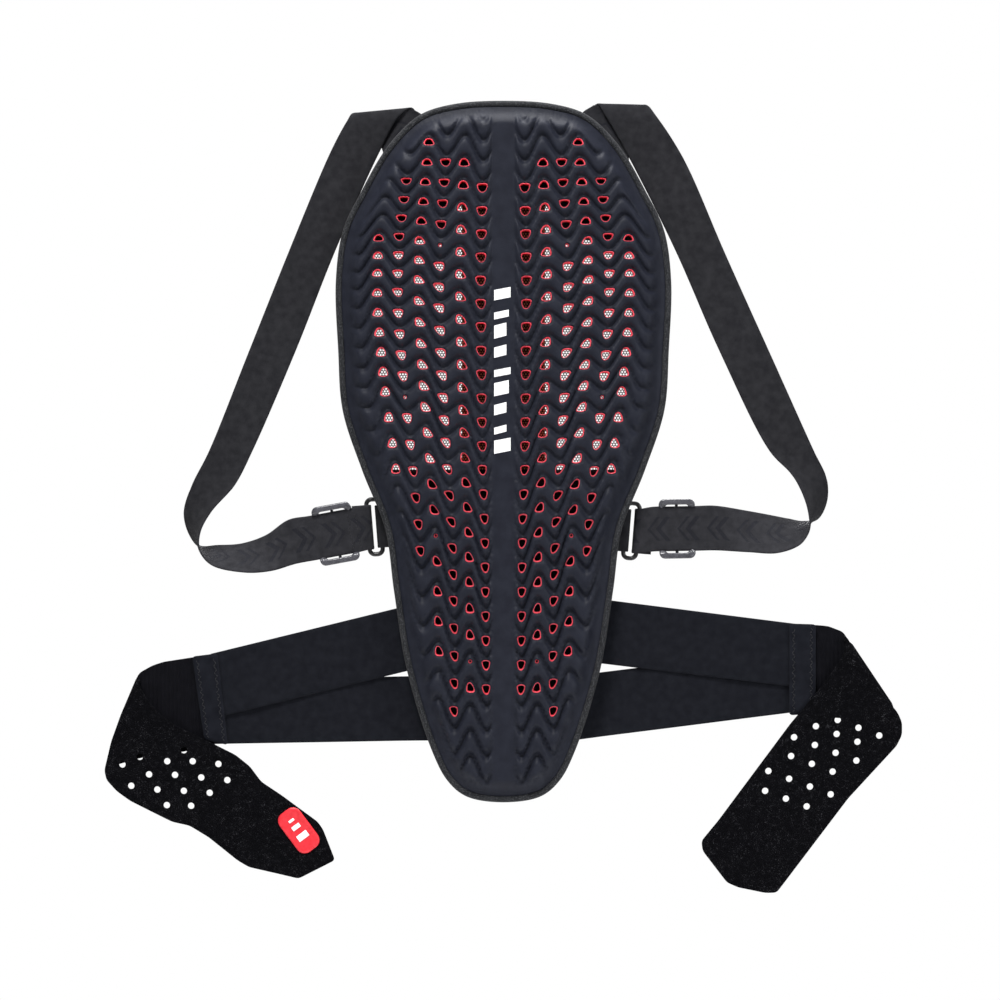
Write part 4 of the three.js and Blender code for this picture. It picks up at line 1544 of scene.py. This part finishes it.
def make_join_stitches(name, side, belt):
    a, b, c, d = [np.array(p, float) for p in belt["join"]]
    parts = []
    for left, right in ((a + (b - a) * 0.16, d + (c - d) * 0.16), (a + (b - a) * 0.82, d + (c - d) * 0.82)):
        count = 26
        zig = []
        for k in range(count + 1):
            p = left + (right - left) * (0.03 + 0.94 * k / count)
            zig.append(out(side, p[0] + (1.1 if k % 2 else -1.1), 2.45, p[1]))
        parts.append(stitch_row("seam", zig, 2.4, 0.35, 0.34))
    seam = join_objects(parts)
    seam.name = "join_seam_" + name
    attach(seam, "belt_" + name)
    return seam


def pile_lift(x, z):
    from_noise = noise.noise(Vector((x * 0.55, z * 0.55, 3.0)))
    fine = noise.noise(Vector((x * 1.6, z * 1.6, 9.0)))
    soft = noise.noise(Vector((x * 0.06, z * 0.06, 1.0)))
    return 0.16 * from_noise + 0.12 * fine + 0.5 * soft


def make_closure(name, side, belt):
    holes = belt.get("holes") or [(x + 16 * i, z - 6 * i) for x, z, n in belt["rows"] for i in range(n)]
    outline = soften(belt["closure"])
    tab = fabric_piece("pile_tab_" + name, outline, 2.4, 0.8, side, holes, pitch=1.15,
                       lift=pile_lift, edge=0.8)
    finish_piece(tab, PILE, "loop_pile", "closure_tab_" + name, body="closure_" + name)
    fold = make_fold(name, side, belt)
    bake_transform(fold)
    declare_cut(outline)


def make_fold(name, side, belt):
    """The rounded turn between the ribbed wing and the tab folded in front of it."""
    a, b = [np.array(p, float) for p in belt["fold"]]
    along = (b - a) / np.linalg.norm(b - a)
    normal = np.array([-along[1], along[0]])
    if normal[0] < 0:
        normal = -normal
    sections = []
    span = np.linalg.norm(b - a)
    for s in np.linspace(2.0, span - 2.0, 50):
        ends = min(1.0, math.sqrt(min(s - 1.5, span - 1.5 - s) / 7))
        p = a + along * s - normal * 2.6
        ring = []
        for radius, turn in ((3.3, 1), (1.4, -1)):
            for k in range(15)[::turn]:
                angle = math.pi * k / 14
                x, z = p + normal * (radius * math.sin(angle) * ends - (0 if 0 < k < 14 else 1.0))
                ring.append(out(side, x, 2.6 + radius * math.cos(angle), z))
        sections.append(ring)
    obj = loft("fold_" + name, sections, close=False, caps=True)
    obj.data.materials.append(PILE)
    return obj


def make_trim():
    corners = [(160, -300), (178, -325), (205, -330), (222, -308), (182, -272)]
    outline = soften(corners, radius=5)
    hook = fabric_piece("hook_tape_patch", outline, 1.0, 2.1, 1, pitch=2.4)
    s = Shader("hook_tape", 0.5, specular=0.3)
    s.colour(s.shades(s.noise(2, 2), [(0.3, (0.008, 0.008, 0.009)), (0.7, (0.02, 0.02, 0.022))]))
    s.bump(s.cells(1.1), 0.5)
    finish_piece(hook, s.material, "hook_tape", "hook_patch_right", body="closure_right")
    declare_cut(outline)
    put = frame_to(-1, (157.6, -291.6), 0.93)
    outer = resample(rounded_rectangle(18.3, 9.8, 7), 120, closed=True)
    sections = []
    profile = [(1.0, -1.6), (1.0, -2.4), (0.97, -3.1), (0.9, -3.45), (0.82, -3.35), (0.76, -3.05)]
    for share, depth in profile:
        sections.append([put(x * share, depth, z * share) for x, z in outer])
    badge = loft("pull_badge", sections, close=False, caps=True)
    finish_piece(badge, BADGE, "badge_rubber", "tab_badge", body="closure_left")
    marks = []
    for k, (half_w, cx) in enumerate(((4.6, -5.2), (3.2, 3.4), (1.9, 9.4))):
        half = (half_w * 0.55, 0.45, 4.6 - k * 1.1)
        marks.append(rounded_block("mark", put, (cx, -3.3, 0.0), half, 0.35))
    mark = join_objects(marks)
    mark.name = "badge_marks"
    mark.data.materials.append(PRINT)
    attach(mark, "closure_left")


# ---------------------------------------------------------------- stage

def make_stage():
    bpy.ops.mesh.primitive_cylinder_add(vertices=96, radius=0.8, depth=0.02, location=(0, 0, -0.60))
    floor = bpy.context.object
    floor.name = "floor"
    pale = Shader("pale_floor", 0.8, specular=0.1)
    pale.colour(pale.shades(pale.noise(60, 2), [(0.3, (0.86, 0.86, 0.86)), (0.7, (0.9, 0.9, 0.9))]))
    floor.data.materials.append(pale.material)
    floor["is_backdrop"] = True
    make_world()
    bpy.context.scene.view_settings.view_transform = "Standard"
    bpy.context.scene.view_settings.look = "None"
    for name, place, size, power, colour in (
        ("key", (-0.4, -1.2, 1.8), 0.7, 64, (1, 1, 1)),
        ("fill", (1.5, -1.1, 0.35), 1.0, 12, (0.95, 0.97, 1)),
        ("top", (0.1, 0.15, 1.6), 0.9, 34, (1, 1, 1)),
        ("back", (0.6, 1.7, 0.7), 1.2, 30, (1, 1, 1)),
    ):
        data = bpy.data.lights.new(name, "AREA")
        data.shape = "DISK"
        data.size = size
        data.energy = power
        data.color = colour
        light = bpy.data.objects.new(name, data)
        light.location = place
        light.rotation_euler = (-Vector(place)).to_track_quat("-Z", "Y").to_euler()
        bpy.context.scene.collection.objects.link(light)
        light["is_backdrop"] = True


def make_world():
    """White round the horizon, dimmer above and below, so the relief isn't washed out."""
    world = bpy.data.worlds.new("studio")
    bpy.context.scene.world = world
    world.use_nodes = True
    nodes, links = world.node_tree.nodes, world.node_tree.links
    coords = nodes.new("ShaderNodeTexCoord")
    split = nodes.new("ShaderNodeSeparateXYZ")
    ramp = nodes.new("ShaderNodeValToRGB")
    shift = nodes.new("ShaderNodeMath")
    shift.operation = "MULTIPLY_ADD"
    shift.inputs[1].default_value = 0.5
    shift.inputs[2].default_value = 0.5
    links.new(coords.outputs["Generated"], split.inputs[0])
    links.new(split.outputs["Z"], shift.inputs[0])
    links.new(shift.outputs[0], ramp.inputs[0])
    stops = [(0.30, 0.22), (0.41, 1.0), (0.59, 1.0), (0.68, 0.2)]
    while len(ramp.color_ramp.elements) < len(stops):
        ramp.color_ramp.elements.new(0.5)
    for element, (at, level) in zip(ramp.color_ramp.elements, stops):
        element.position = at
        element.color = (level, level, level, 1)
    facing = nodes.new("ShaderNodeMapRange")
    facing.inputs["From Min"].default_value = -0.75
    facing.inputs["From Max"].default_value = -0.1
    facing.inputs["To Min"].default_value = 0.8
    facing.inputs["To Max"].default_value = 1.0
    links.new(split.outputs["Y"], facing.inputs["Value"])
    links.new(facing.outputs["Result"], nodes["Background"].inputs["Strength"])
    links.new(ramp.outputs["Color"], nodes["Background"].inputs["Color"])


def make_camera():
    data = bpy.data.cameras.new("camera")
    data.lens = 121.5
    data.sensor_width = 36
    camera = bpy.data.objects.new("camera", data)
    camera.location = (-0.0027, -2.6, -0.0373)
    camera.rotation_euler = (math.pi / 2, 0, 0)
    bpy.context.scene.collection.objects.link(camera)
    bpy.context.scene.camera = camera


make_plate()
make_core()
make_net()
make_panels(make_binding())
make_spine_liner()
make_graphic()
for label, sign in SIDES.items():
    make_straps(label, sign)
    make_ring(label, sign)
    make_ring_tab(label, sign)
    make_slider(label, sign)
    make_belt(label, sign)
make_trim()
make_stage()
make_camera()

for label, (low, high) in (("cad", cad_box), ("visual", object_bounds())):
    {"low": list(low), "high": list(high)}
